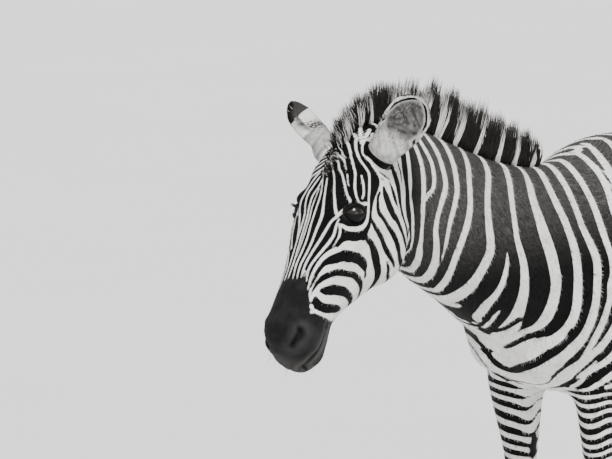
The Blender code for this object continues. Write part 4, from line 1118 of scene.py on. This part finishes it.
# an unwrap of the skin's own shape, read on a lighter copy of it
class SkinMap:
    def __init__(self, body):
        light = body.copy()
        light.data = body.data.copy()
        bpy.context.collection.objects.link(light)
        thin = light.modifiers.new("thin", "DECIMATE")
        thin.ratio = 0.07
        applyModifiers(light)
        bpy.ops.object.select_all(action="DESELECT")
        light.select_set(True)
        bpy.context.view_layer.objects.active = light
        light.data.uv_layers.new(name="skinMap")
        bpy.ops.object.mode_set(mode="EDIT")
        bpy.ops.mesh.select_all(action="SELECT")
        bpy.ops.uv.smart_project(angle_limit=math.radians(66), island_margin=0.002)
        bpy.ops.object.mode_set(mode="OBJECT")
        mesh = light.data
        mesh.calc_loop_triangles()
        count = len(mesh.loop_triangles)
        loops = np.empty(count * 3, np.int32)
        corners = np.empty(count * 3, np.int32)
        mesh.loop_triangles.foreach_get("loops", loops)
        mesh.loop_triangles.foreach_get("vertices", corners)
        uv = np.empty(len(mesh.loops) * 2, np.float32)
        mesh.uv_layers[-1].data.foreach_get("uv", uv)
        self.uv = uv.reshape(-1, 2)[loops].reshape(-1, 3, 2)
        self.corners = pointsOf(mesh)[corners].reshape(-1, 3, 3)
        self.tree = BVHTree.FromPolygons([Vector(p) for p in pointsOf(mesh)],
                                         [tuple(row) for row in corners.reshape(-1, 3).tolist()])
        bpy.data.objects.remove(light)

    def at(self, points):
        faces = np.array([self.tree.find_nearest(Vector(p))[2] for p in points])
        a, b, c = (self.corners[faces, k] for k in range(3))
        e1, e2, p = b - a, c - a, points - a
        d11, d12, d22 = (e1 * e1).sum(1), (e1 * e2).sum(1), (e2 * e2).sum(1)
        p1, p2 = (p * e1).sum(1), (p * e2).sum(1)
        base = d11 * d22 - d12 * d12 + 1e-18
        v = np.clip((d22 * p1 - d12 * p2) / base, 0, 1)
        w = np.clip((d11 * p2 - d12 * p1) / base, 0, 1)
        share = np.stack([np.clip(1 - v - w, 0, 1), v, w], 1)
        share /= share.sum(1)[:, None]
        return (self.uv[faces] * share[..., None]).sum(1)


# a lock's patch of the OFBake map is this wide and high, round its root's place on the unwrap
patch = 0.003


def makeLocks(name, paths, widths, flat, rootUv, layers, faceUp=None):
    # tapered closed spikes along the paths, which hold one row of places for each lock
    count, steps = paths.shape[:2]
    rings = steps - 1
    along = np.gradient(paths, axis=1)
    along /= np.linalg.norm(along, axis=2)[..., None] + 1e-9
    if faceUp is None:
        faceUp = np.tile([0.3, 0.4, 0.86], (count, 1))
    across = np.cross(along, faceUp[:, None, :])
    across /= np.linalg.norm(across, axis=2)[..., None] + 1e-9
    up = np.cross(across, along)
    share = np.arange(rings) / rings
    taper = (1 - share ** 1.7) * (0.75 + 0.25 * np.sin(math.pi * np.minimum(share * 1.6, 1)))
    verts = np.empty((count, rings * 3 + 1, 3))
    uvs = np.empty((count, rings * 3 + 1, 2))
    for k in range(rings):
        for j, angle in enumerate((0.5, 2.6, 4.7)):
            size = widths[:, None] * taper[k]
            verts[:, k * 3 + j] = (paths[:, k] + across[:, k] * size * math.cos(angle)
                                   + up[:, k] * size * flat * math.sin(angle))
            uvs[:, k * 3 + j] = ((j - 1) * patch * 0.45, (share[k] - 0.5) * patch)
    verts[:, -1] = paths[:, -1]
    uvs[:, -1] = (0, patch * 0.5)
    uvs += rootUv[:, None, :]
    faces = [(2, 1, 0)]
    for k in range(rings - 1):
        for j in range(3):
            a, b = k * 3 + j, k * 3 + (j + 1) % 3
            faces += [(a, b, b + 3), (a, b + 3, a + 3)]
    last = (rings - 1) * 3
    faces += [(last + j, last + (j + 1) % 3, rings * 3) for j in range(3)]
    faces = np.array(faces)
    size = rings * 3 + 1
    everyFace = (faces[None] + np.arange(count)[:, None, None] * size).reshape(-1, 3)
    mesh = meshFromArrays(name, verts.reshape(-1, 3), everyFace, 3)
    layer = mesh.uv_layers.new(name="OFBake")
    layer.data.foreach_set("uv", uvs.reshape(-1, 2)[everyFace.ravel()].astype(np.float32).ravel())
    for key, values in layers.items():
        floatLayer(mesh, key, np.repeat(values, size))
    rise = np.concatenate([np.repeat(share, 3), [1.0]])
    floatLayer(mesh, "rise", np.tile(rise, count))
    mesh.shade_smooth()
    return addPiece(name, mesh)


def rootsOn(body, weight, count, layers):
    # places spread over the skin in proportion to weight, with the skin's layers read there
    mesh = body.data
    mesh.calc_loop_triangles()
    tris = np.empty(len(mesh.loop_triangles) * 3, np.int32)
    mesh.loop_triangles.foreach_get("vertices", tris)
    tris = tris.reshape(-1, 3)
    points, normals = pointsOf(mesh), normalsOf(mesh)
    a, b, c = (points[tris[:, k]] for k in range(3))
    area = np.linalg.norm(np.cross(b - a, c - a), axis=1)
    odds = area * weight[tris].mean(1)
    chosen = rng.choice(len(tris), count, p=odds / odds.sum())
    share = rng.dirichlet((1, 1, 1), count)
    take = tris[chosen]
    blend = lambda values: (values[take] * (share[..., None] if values.ndim > 1 else share)).sum(1)
    out = {name: blend(values) for name, values in layers.items()}
    out["place"], out["normal"] = blend(points), blend(normals)
    out["normal"] /= np.linalg.norm(out["normal"], axis=1)[:, None] + 1e-9
    return out


def readLayer(body, name, wide=1):
    values = np.empty(len(body.data.vertices) * wide, np.float32)
    body.data.attributes[name].data.foreach_get("value" if wide == 1 else "vector", values)
    return values.astype(float) if wide == 1 else values.reshape(-1, wide).astype(float)


coat = dict(
    coatHead=dict(count=36000, longest=0.0085, wide=0.00085, lift=0.26),
    coatNeck=dict(count=42000, longest=0.0125, wide=0.0011, lift=0.20),
    coatTrunk=dict(count=46000, longest=0.0120, wide=0.0013, lift=0.16),
    coatLegs=dict(count=40000, longest=0.0105, wide=0.0012, lift=0.18),
)
coatLay = dict(stray=0.13, shortest=0.65, tallest=1.1, sunk=0.0006, flat=0.45)


def makeCoat(body, skinMap):
    points = pointsOf(body.data)
    looks = ("marking", "muzzle", "bare", "sheenAndEarGrey", "paleGreyAndSheen")
    layers = {name: readLayer(body, name) for name in looks}
    layers["comb"] = readLayer(body, "comb", 3)
    y, z = points[:, 1], points[:, 2]
    headZone = smoothStep(-y, 0.72, 0.76)
    legZone = smoothStep(-z, -0.80, -0.72)
    zones = dict(coatHead=headZone,
                 coatNeck=(1 - headZone) * (1 - legZone) * smoothStep(-y, 0.08, 0.16),
                 coatTrunk=(1 - legZone) * smoothStep(y, -0.16, -0.08),
                 coatLegs=(1 - headZone) * legZone)
    bald = np.clip(1 - layers["bare"] * 1.3, 0, 1) * (z > 0.066)
    finish = coatFinish("coatTufts", False, 0.0004)
    pieces = []
    for name, facts in coat.items():
        read = rootsOn(body, zones[name] * bald + 1e-9, facts["count"], layers)
        count = facts["count"]
        stray = rng.normal(0, coatLay["stray"], (count, 3))
        way = read["comb"] + read["normal"] * facts["lift"] + stray
        way /= np.linalg.norm(way, axis=1)[:, None] + 1e-9
        length = facts["longest"] * rng.uniform(coatLay["shortest"], coatLay["tallest"], count)
        length *= 1 - 0.55 * np.clip(read["muzzle"], 0, 1) * (name == "coatHead")
        start = read["place"] - read["normal"] * coatLay["sunk"]
        tip = start + (way - read["normal"] * facts["lift"] * 0.55) * length[:, None]
        paths = np.stack([start, tip], 1)
        keep = {key: read[key] for key in looks}
        piece = makeLocks(name, paths, np.full(count, facts["wide"]), coatLay["flat"],
                          skinMap.at(read["place"]), keep, read["normal"])
        piece.data.materials.append(finish)
        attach(piece, "root")
        pieces.append(piece)
    print("coat laid:", sum(len(piece.data.polygons) for piece in pieces), "faces")


# long hair in the ears, a third of it pale, and whiskers on the lips and chin
fineHair = dict(ear=900, earWidth=0.00055, earShort=0.010, earLong=0.019,
                whiskers=110, whiskerWidth=0.00035, whiskerShort=0.012, whiskerLong=0.030, droop=0.25)


def makeFineHair(body, skinMap):
    points = pointsOf(body.data)
    local = inHead(points)
    hollow = readLayer(body, "earHollow")
    finish = maneFinish("fineHair")
    inEar = np.clip(hollow * 3, 0, 1) * (hollow > 0.02) * (local[:, 2] < 0.02)
    read = rootsOn(body, inEar + 1e-9, fineHair["ear"], {"down": local[:, 2]})
    count = fineHair["ear"]
    side = np.sign(inHead(read["place"])[:, 0])
    turned = np.array(headFrame.to_3x3())
    leans = {}
    for ownSide in (1, -1):
        axis, facing = (np.array(v) @ turned.T for v in earAxes(ownSide)[:2])
        leans[ownSide] = axis * 0.75 + facing * 0.35
    way = np.array([leans[1 if s > 0 else -1] for s in side])
    way = way + rng.normal(0, 0.16, (count, 3)) + read["normal"] * 0.12
    way /= np.linalg.norm(way, axis=1)[:, None]
    length = rng.uniform(fineHair["earShort"], fineHair["earLong"], count)
    share = np.linspace(0, 1, 4)[None, :, None]
    paths = read["place"][:, None] - read["normal"][:, None] * 0.0008
    paths = paths + way[:, None] * length[:, None, None] * share
    marks = np.where(rng.uniform(0, 1, count) > 0.66, 0.004, -0.004)
    piece = makeLocks("earHair", paths, np.full(count, fineHair["earWidth"]), 0.7, skinMap.at(read["place"]),
                      dict(marking=marks, tipped=np.zeros(count)), read["normal"])
    piece.data.materials.append(finish)
    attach(piece, "root")
    lips = (smoothStep(local[:, 2], 0.455, 0.49)) * (local[:, 1] < 0.0) + 1e-9
    read = rootsOn(body, lips, fineHair["whiskers"], {"down": local[:, 2]})
    count = fineHair["whiskers"]
    way = read["normal"] + np.array([0, 0, -0.5]) + rng.normal(0, 0.18, (count, 3))
    way /= np.linalg.norm(way, axis=1)[:, None]
    length = rng.uniform(fineHair["whiskerShort"], fineHair["whiskerLong"], count)
    paths = read["place"][:, None] - read["normal"][:, None] * 0.001
    paths = paths + way[:, None] * length[:, None, None] * share
    paths[:, :, 2] -= (length[:, None] * share[..., 0] ** 2) * fineHair["droop"]
    piece = makeLocks("whiskers", paths, np.full(count, fineHair["whiskerWidth"]), 0.8,
                      skinMap.at(read["place"]),
                      dict(marking=np.full(count, -0.004), tipped=np.zeros(count)), read["normal"])
    piece.data.materials.append(finish)
    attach(piece, "root")
    print("ear hair and whiskers made")


# the mane: upright locks, their heights measured against the outline that the frame gives it
mane = dict(locks=5600, wide=0.0019, rows=0.013, footOver=0.012, depth=0.004,
            along=(0, .12, .25, .42, .85, 1), tall=(.72, .84, .97, 1.27, 1.32, 1.2),
            paleBands=((.205, .009), (.285, .012), (.335, .008)))


def maneFinish(name):
    material, tree, shader = newMaterial(name)
    coords = node(tree, "ShaderNodeTexCoord").outputs["Object"]
    white = ramp(tree, attribute(tree, "marking"), -0.0012, 0.0012, 0, 1, True)
    tint = noiseOn(tree, coords, 90, 3)
    pale = mixColours(tree, tint, (0.82, 0.81, 0.79), (0.52, 0.50, 0.47))
    dark = mixColours(tree, tint, (0.003, 0.003, 0.003), (0.024, 0.022, 0.020))
    colour = mixColours(tree, white, dark, pale)
    tip = ramp(tree, attribute(tree, "rise"), 0.62, 0.92, 0, 1, True)
    tip = mathOn(tree, "MULTIPLY", tip, attribute(tree, "tipped"))
    tipColour = mixColours(tree, tint, (0.050, 0.043, 0.038), (0.020, 0.017, 0.016))
    colour = mixColours(tree, tip, colour, tipColour)
    plug(tree, colour, shader.inputs["Base Color"])
    shader.inputs["Roughness"].default_value = 0.5
    shader.inputs["Specular IOR Level"].default_value = 0.10
    return material


def markingNear(body):
    tree = KDTree(len(body.data.vertices))
    for index, vert in enumerate(body.data.vertices):
        tree.insert(vert.co, index)
    tree.balance()
    values = readLayer(body, "marking")
    return lambda place: values[tree.find(place)[1]]


def makeMane(body, skinMap):
    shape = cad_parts["mane"].data
    outline = pointsOf(shape)
    shape.calc_loop_triangles()
    maneTree = BVHTree.FromPolygons([Vector(p) for p in outline],
                                    [tuple(tri.vertices) for tri in shape.loop_triangles])
    low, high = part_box("mane")
    bodyTree = BVHTree.FromPolygons([v.co.copy() for v in body.data.vertices],
                                    [tuple(face.vertices) for face in body.data.polygons])
    # the crest line: the middle of the mane's foot, read on the skin every centimetre
    stations = []
    for y in np.arange(low[1] + 0.006, high[1] - 0.006, 0.01):
        band = outline[np.abs(outline[:, 1] - y) < 0.035]
        x = float(band[:, 0].mean()) if len(band) else 0
        hit = bodyTree.ray_cast(Vector((x, y, 1.7)), Vector((0, 0, -1)))
        if hit[0] is not None:
            stations.append(hit[0][:])
    stations = np.array(stations)
    for turn in range(6):
        stations[1:-1] = (stations[:-2] + stations[1:-1] * 2 + stations[2:]) / 4
    span = np.concatenate([[0], np.cumsum(np.linalg.norm(np.diff(stations, axis=0), axis=1))])
    near = markingNear(body)
    count = mane["locks"]
    where = rng.uniform(0, span[-1], count)
    places = np.stack([np.interp(where, span, stations[:, k]) for k in range(3)], 1)
    ahead = np.stack([np.interp(np.minimum(where + 0.02, span[-1]), span, stations[:, k])
                      for k in range(3)], 1)
    behind = np.stack([np.interp(np.maximum(where - 0.02, 0), span, stations[:, k]) for k in range(3)], 1)
    along = ahead - behind
    along /= np.linalg.norm(along, axis=1)[:, None] + 1e-9
    upright = np.cross(np.array([1.0, 0, 0]), along)
    upright *= np.sign(upright[:, 2])[:, None]
    upright /= np.linalg.norm(upright, axis=1)[:, None] + 1e-9
    sideways = np.cross(along, upright)
    offset = rng.normal(0, 0.42, count).clip(-1, 1) * mane["rows"]
    roots, tips, marks = [], [], []
    # tall and short clumps stand side by side, as the ragged outline shows
    for k in range(count):
        root = places[k] + sideways[k] * offset[k]
        top = bodyTree.find_nearest(Vector(root))[0]
        root = np.array(top) - upright[k] * mane["depth"]
        start = Vector(places[k] + upright[k] * mane["footOver"])
        hit = maneTree.ray_cast(start, Vector(upright[k]))
        tall = hit[3] + mane["footOver"] if hit[0] is not None else 0.02
        clump = 0.5 + 0.5 * math.sin(where[k] * 165 + 2.2 * math.sin(where[k] * 47))
        aside = sideways[k] * 0.02 * np.sign(offset[k] + 1e-6)
        mark = near(Vector(root - upright[k] * mane["depth"] + aside))
        share = where[k] / span[-1]
        white = mark > 0 or any(abs(share - at) < half for at, half in mane["paleBands"])
        reachUp = (0.90 + 0.16 * clump) if not white else (0.86 + 0.12 * clump)
        tall *= float(np.interp(share, mane["along"], mane["tall"]))
        tall *= reachUp * rng.uniform(0.74, 1.06)
        lean = upright[k] + along[k] * (0.10 * math.sin(where[k] * 90) + rng.normal(0, 0.05) + 0.05)
        lean = lean + sideways[k] * (offset[k] * 5.0 + rng.normal(0, 0.035))
        roots.append(root)
        tips.append(root + lean / np.linalg.norm(lean) * tall)
        marks.append(0.004 if white else -0.004)
    roots, tips, marks = np.array(roots), np.array(tips), np.array(marks)
    share = np.linspace(0, 1, 5)[None, :, None]
    bend = (rng.normal(0, 0.0035, (count, 1, 3)) + along[:, None] * 0.004) * np.sin(share * math.pi)
    paths = roots[:, None] * (1 - share) + tips[:, None] * share + bend
    tipped = rng.uniform(0.6, 1.0, count)
    widths = mane["wide"] * rng.uniform(0.7, 1.25, count)
    piece = makeLocks("maneLocks", paths, widths, 0.55, skinMap.at(roots),
                      dict(marking=marks, tipped=tipped), along)
    piece.data.materials.append(maneFinish("maneHair"))
    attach(piece, "root")
    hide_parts("mane")
    print("mane made:", len(piece.data.polygons), "faces")


# tail: a striped dock, which belongs to the skin, and a dark brush in place of the frame's
tail = dict(locks=1500, wide=0.0019, steps=7)


def makeTail(skinMap):
    low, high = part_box("tail_brush")
    count = tail["locks"]
    rise = rng.uniform(0, 1, count) ** 1.6
    shape = pointsOf(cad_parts["tail_brush"].data)
    heights = np.linspace(low[2], high[2], 9)
    centres = np.array([shape[np.abs(shape[:, 2] - h) < 0.05].mean(0) for h in heights])
    halves = np.array([np.ptp(shape[np.abs(shape[:, 2] - h) < 0.05][:, 0]) / 2 for h in heights])
    angle = rng.uniform(0, tau, count)
    out = np.sqrt(rng.uniform(0, 1, count))
    topZ = high[2] + 0.05 * rise - 0.12 * rng.uniform(0, 1, count) ** 2
    endZ = low[2] + 0.004 + (0.22 * rng.uniform(0, 1, count) ** 2.2)
    share = np.linspace(0, 1, tail["steps"])
    z = topZ[:, None] + (endZ - topZ)[:, None] * share[None]
    x0 = np.interp(z, heights, centres[:, 0])
    y0 = np.interp(z, heights, centres[:, 1])
    half = np.interp(z, heights, halves) * 0.92
    spread = out[:, None] * (0.45 + 0.55 * np.sin(share * math.pi * 0.8)[None])
    wave = 0.003 * np.sin(share[None] * 9 + rng.uniform(0, tau, count)[:, None])
    x = x0 + half * spread * np.cos(angle)[:, None] + wave
    y = y0 + half * spread * np.sin(angle)[:, None] - wave
    paths = np.stack([x, y, z], 2)
    marks = np.where(rng.uniform(0, 1, count) > 0.93, 0.004, -0.004)
    widths = tail["wide"] * rng.uniform(0.7, 1.2, count)
    face = np.stack([np.cos(angle), np.sin(angle), np.zeros(count)], 1)
    piece = makeLocks("tailBrush", paths, widths, 0.6, skinMap.at(paths[:, 0]),
                      dict(marking=marks, tipped=np.ones(count) * 0.5), face)
    piece.data.materials.append(maneFinish("tailHair"))
    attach(piece, "root")
    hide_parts("tail_brush")
    print("tail brush made:", len(piece.data.polygons), "faces")


# eyes, with lids and lashes
lid = dict(wide=60, upper=24, lower=19, outer=82, around=56, farSunk=0.010, nearSunk=0.0015,
           section=[(0, -0.0012), (0, 0.0010), (0.03, 0.0024), (0.10, 0.0030), (0.18, 0.0025),
                    (0.24, 0.0034), (0.34, 0.0032), (0.5, 0.0024), (0.75, 0.0012), (1, -0.001),
                    (1, -0.0035), (0.3, -0.0030)])
lash = dict(count=90, width=0.0005, shortest=0.009, longest=0.015, curl=0.0025)


def eyeAxes(side):
    gaze = Vector((eye["gaze"][0] * side, *eye["gaze"][1:])).normalized()
    down = (Vector((0, 0, 1)) - gaze * gaze.z).normalized()
    front = Vector((-gaze.y * side, abs(gaze.x), 0)).normalized()
    front = (front - gaze * front.dot(gaze)).normalized()
    longWay = (down * 0.42 + front * 0.91).normalized()
    shortWay = gaze.cross(longWay)
    if shortWay.z > 0:
        shortWay = -shortWay
    return gaze, longWay, shortWay


def eyeFinish():
    material, tree, shader = newMaterial("wetEye")
    coords = node(tree, "ShaderNodeTexCoord").outputs["Object"]
    iris = mixColours(tree, noiseOn(tree, coords, 500, 3), (0.022, 0.016, 0.013), (0.008, 0.006, 0.005))
    ring = ramp(tree, attribute(tree, "pupil"), 0.9, 1.1, 0, 1, True)
    colour = mixColours(tree, ring, (0.002, 0.002, 0.002), iris)
    white = ramp(tree, attribute(tree, "pupil"), 2.3, 2.6, 0, 1, True)
    colour = mixColours(tree, white, colour, (0.010, 0.008, 0.007))
    plug(tree, colour, shader.inputs["Base Color"])
    shader.inputs["Roughness"].default_value = 0.24
    shader.inputs["Coat Weight"].default_value = 0.14
    shader.inputs["Coat Roughness"].default_value = 0.12
    return material


def lidFinish():
    material, tree, shader = newMaterial("lidSkin")
    coords = node(tree, "ShaderNodeTexCoord").outputs["Object"]
    folds = noiseOn(tree, coords, 320, 4)
    colour = mixColours(tree, folds, (0.0015, 0.0015, 0.0015), (0.006, 0.0055, 0.005))
    plug(tree, colour, shader.inputs["Base Color"])
    plug(tree, ramp(tree, folds, 0.3, 0.7, 0.40, 0.65), shader.inputs["Roughness"])
    shader.inputs["Specular IOR Level"].default_value = 0.12
    bumpOn(tree, shader, folds, 0.4, 0.001)
    return material


def makeEyes(skinMap):
    wet, skinDark = eyeFinish(), lidFinish()
    for side, word in ((1, "Left"), (-1, "Right")):
        gaze, longWay, shortWay = eyeAxes(side)
        middle = Vector((eye["side"] * side, eye["out"], eye["down"]))
        middle = middle - gaze * (lid["nearSunk"] if side > 0 else lid["farSunk"])
        bm = bmesh.new()
        bmesh.ops.create_uvsphere(bm, u_segments=48, v_segments=32, radius=eye["radius"])
        rot = Matrix((longWay, shortWay, gaze)).transposed().to_4x4()
        bmesh.ops.transform(bm, matrix=headFrame @ Matrix.Translation(middle) @ rot, verts=bm.verts)
        ball = pieceFromBmesh("eyeball" + word, bm)
        offset = inHead(pointsOf(ball.data)) - np.array(middle)
        a = offset @ np.array(longWay) / (eye["radius"] * 0.40)
        b = offset @ np.array(shortWay) / (eye["radius"] * 0.26)
        behind = (offset @ np.array(gaze)) < 0
        pupil = np.sqrt(a * a + b * b) + behind * 3
        floatLayer(ball.data, "pupil", pupil)
        ball.data.materials.append(wet)
        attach(ball, "root")
        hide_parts("eye_" + word.lower())
        # the lids: a ring from the almond's edge out under the skin, closed behind
        bm = bmesh.new()
        rings = []
        for share, rise in lid["section"]:
            ring = []
            for k in range(lid["around"]):
                angle = tau * k / lid["around"]
                c, s = math.cos(angle), math.sin(angle)
                tall = lid["upper"] if s > 0 else lid["lower"]
                edge = 1 / math.sqrt((c / lid["wide"]) ** 2 + (s / tall) ** 2)
                edge *= 1 - 0.10 * abs(math.sin(2 * angle))
                away = math.radians(edge + (lid["outer"] - edge) * share)
                way = gaze * math.cos(away) + (longWay * c + shortWay * s) * math.sin(away)
                ring.append(bm.verts.new(headFrame @ (middle + way * (eye["radius"] + rise))))
            rings.append(ring)
        for low, high in zip(rings, rings[1:] + rings[:1]):
            for k in range(lid["around"]):
                n = (k + 1) % lid["around"]
                bm.faces.new((low[k], low[n], high[n], high[k]))
        bmesh.ops.recalc_face_normals(bm, faces=bm.faces)
        lids = pieceFromBmesh("eyelids" + word, bm)
        lids.data.materials.append(skinDark)
        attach(lids, "root")
        # lashes along the upper lid
        count = lash["count"]
        angle = rng.uniform(0.12, 0.88, count) * math.pi
        paths = np.empty((count, 4, 3))
        for k in range(count):
            c, s = math.cos(angle[k]), math.sin(angle[k])
            edge = 1 / math.sqrt((c / lid["wide"]) ** 2 + (s / lid["upper"]) ** 2)
            away = math.radians(edge + 3)
            way = gaze * math.cos(away) + (longWay * c + shortWay * s) * math.sin(away)
            root = middle + way * (eye["radius"] + 0.0015)
            sweep = (gaze * 0.9 + shortWay * 0.25 + longWay * c * 0.35).normalized()
            tip = root + sweep * rng.uniform(lash["shortest"], lash["longest"])
            for j in range(4):
                t = j / 3
                paths[k, j] = headFrame @ (root.lerp(tip, t) - shortWay * lash["curl"] * t * t)
        lashes = makeLocks("lashes" + word, paths, np.full(count, lash["width"]), 0.8,
                           skinMap.at(paths[:, 0]),
                           dict(marking=np.full(count, -0.004), tipped=np.zeros(count)))
        lashes.data.materials.append(maneFinish("lashHair" + word))
        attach(lashes, "root")
    print("eyes made")


# hooves: rounded walls with growth rings
hoof = dict(voxel=0.0024, smoothing=9, ringHeight=0.0007, ringPace=480, coronet=0.0022, coronetAt=0.057)


def hoofFinish():
    material, tree, shader = newMaterial("hoofHorn")
    coords = node(tree, "ShaderNodeTexCoord").outputs["Object"]
    stretch = node(tree, "ShaderNodeMapping")
    stretch.inputs["Scale"].default_value = (90, 90, 5)
    plug(tree, coords, stretch.inputs["Vector"])
    streak = noiseOn(tree, stretch.outputs[0], 3, 4)
    split = node(tree, "ShaderNodeSeparateXYZ")
    plug(tree, coords, split.inputs[0])
    rings = mathOn(tree, "SINE", mathOn(tree, "MULTIPLY", split.outputs["Z"], 900.0), 0.0)
    colour = mixColours(tree, ramp(tree, streak, 0.3, 0.7), (0.018, 0.016, 0.015), (0.075, 0.066, 0.058))
    nearGround = ramp(tree, split.outputs["Z"], 0.0, 0.02, 0.45, 0.0)
    colour = mixColours(tree, nearGround, colour, (0.16, 0.145, 0.13))
    plug(tree, colour, shader.inputs["Base Color"])
    plug(tree, ramp(tree, streak, 0.3, 0.7, 0.35, 0.6), shader.inputs["Roughness"])
    bumpOn(tree, shader, rings, 0.35, 0.0006)
    return material


def makeHooves():
    horn = hoofFinish()
    for pair in ("fore", "hind"):
        for side in ("left", "right"):
            name = "hoof_" + pair + "_" + side
            bm = bmesh.new()
            bm.from_mesh(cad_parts[name].data)
            bmesh.ops.remove_doubles(bm, verts=bm.verts, dist=0.00005)
            piece = pieceFromBmesh("horn_" + pair + "_" + side, bm)
            remesh = piece.modifiers.new("evenFaces", "REMESH")
            remesh.mode = "VOXEL"
            remesh.voxel_size = hoof["voxel"]
            smooth = piece.modifiers.new("smoothing", "SMOOTH")
            smooth.factor = 0.5
            smooth.iterations = hoof["smoothing"]
            applyModifiers(piece)
            points, normals = pointsOf(piece.data), normalsOf(piece.data)
            walls = np.abs(normals[:, 2]) < 0.8
            wave = np.sin(points[:, 2] * hoof["ringPace"] + 2 * points[:, 1] * 60)
            grow = hoof["ringHeight"] * wave + 0.0008
            coronet = hoof["coronet"] * bell(points[:, 2] - hoof["coronetAt"], 0.006)
            points += normals * np.where(walls, grow + coronet, 0)[:, None]
            points[:, 2] = np.where(points[:, 2] < 0.004, points[:, 2] * 0.2, points[:, 2])
            points[:, 2] = np.maximum(points[:, 2] - points[:, 2].min(), 0)
            setPoints(piece.data, points)
            piece.data.shade_smooth()
            piece.data.materials.append(horn)
            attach(piece, "root")
            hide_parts(name)
    print("hooves made")


makeCamera()
makeStudio()
skin = makeSkin()
skinMap = SkinMap(skin)
makeEyes(skinMap)
makeMane(skin, skinMap)
makeTail(skinMap)
makeHooves()
makeFineHair(skin, skinMap)
makeCoat(skin, skinMap)
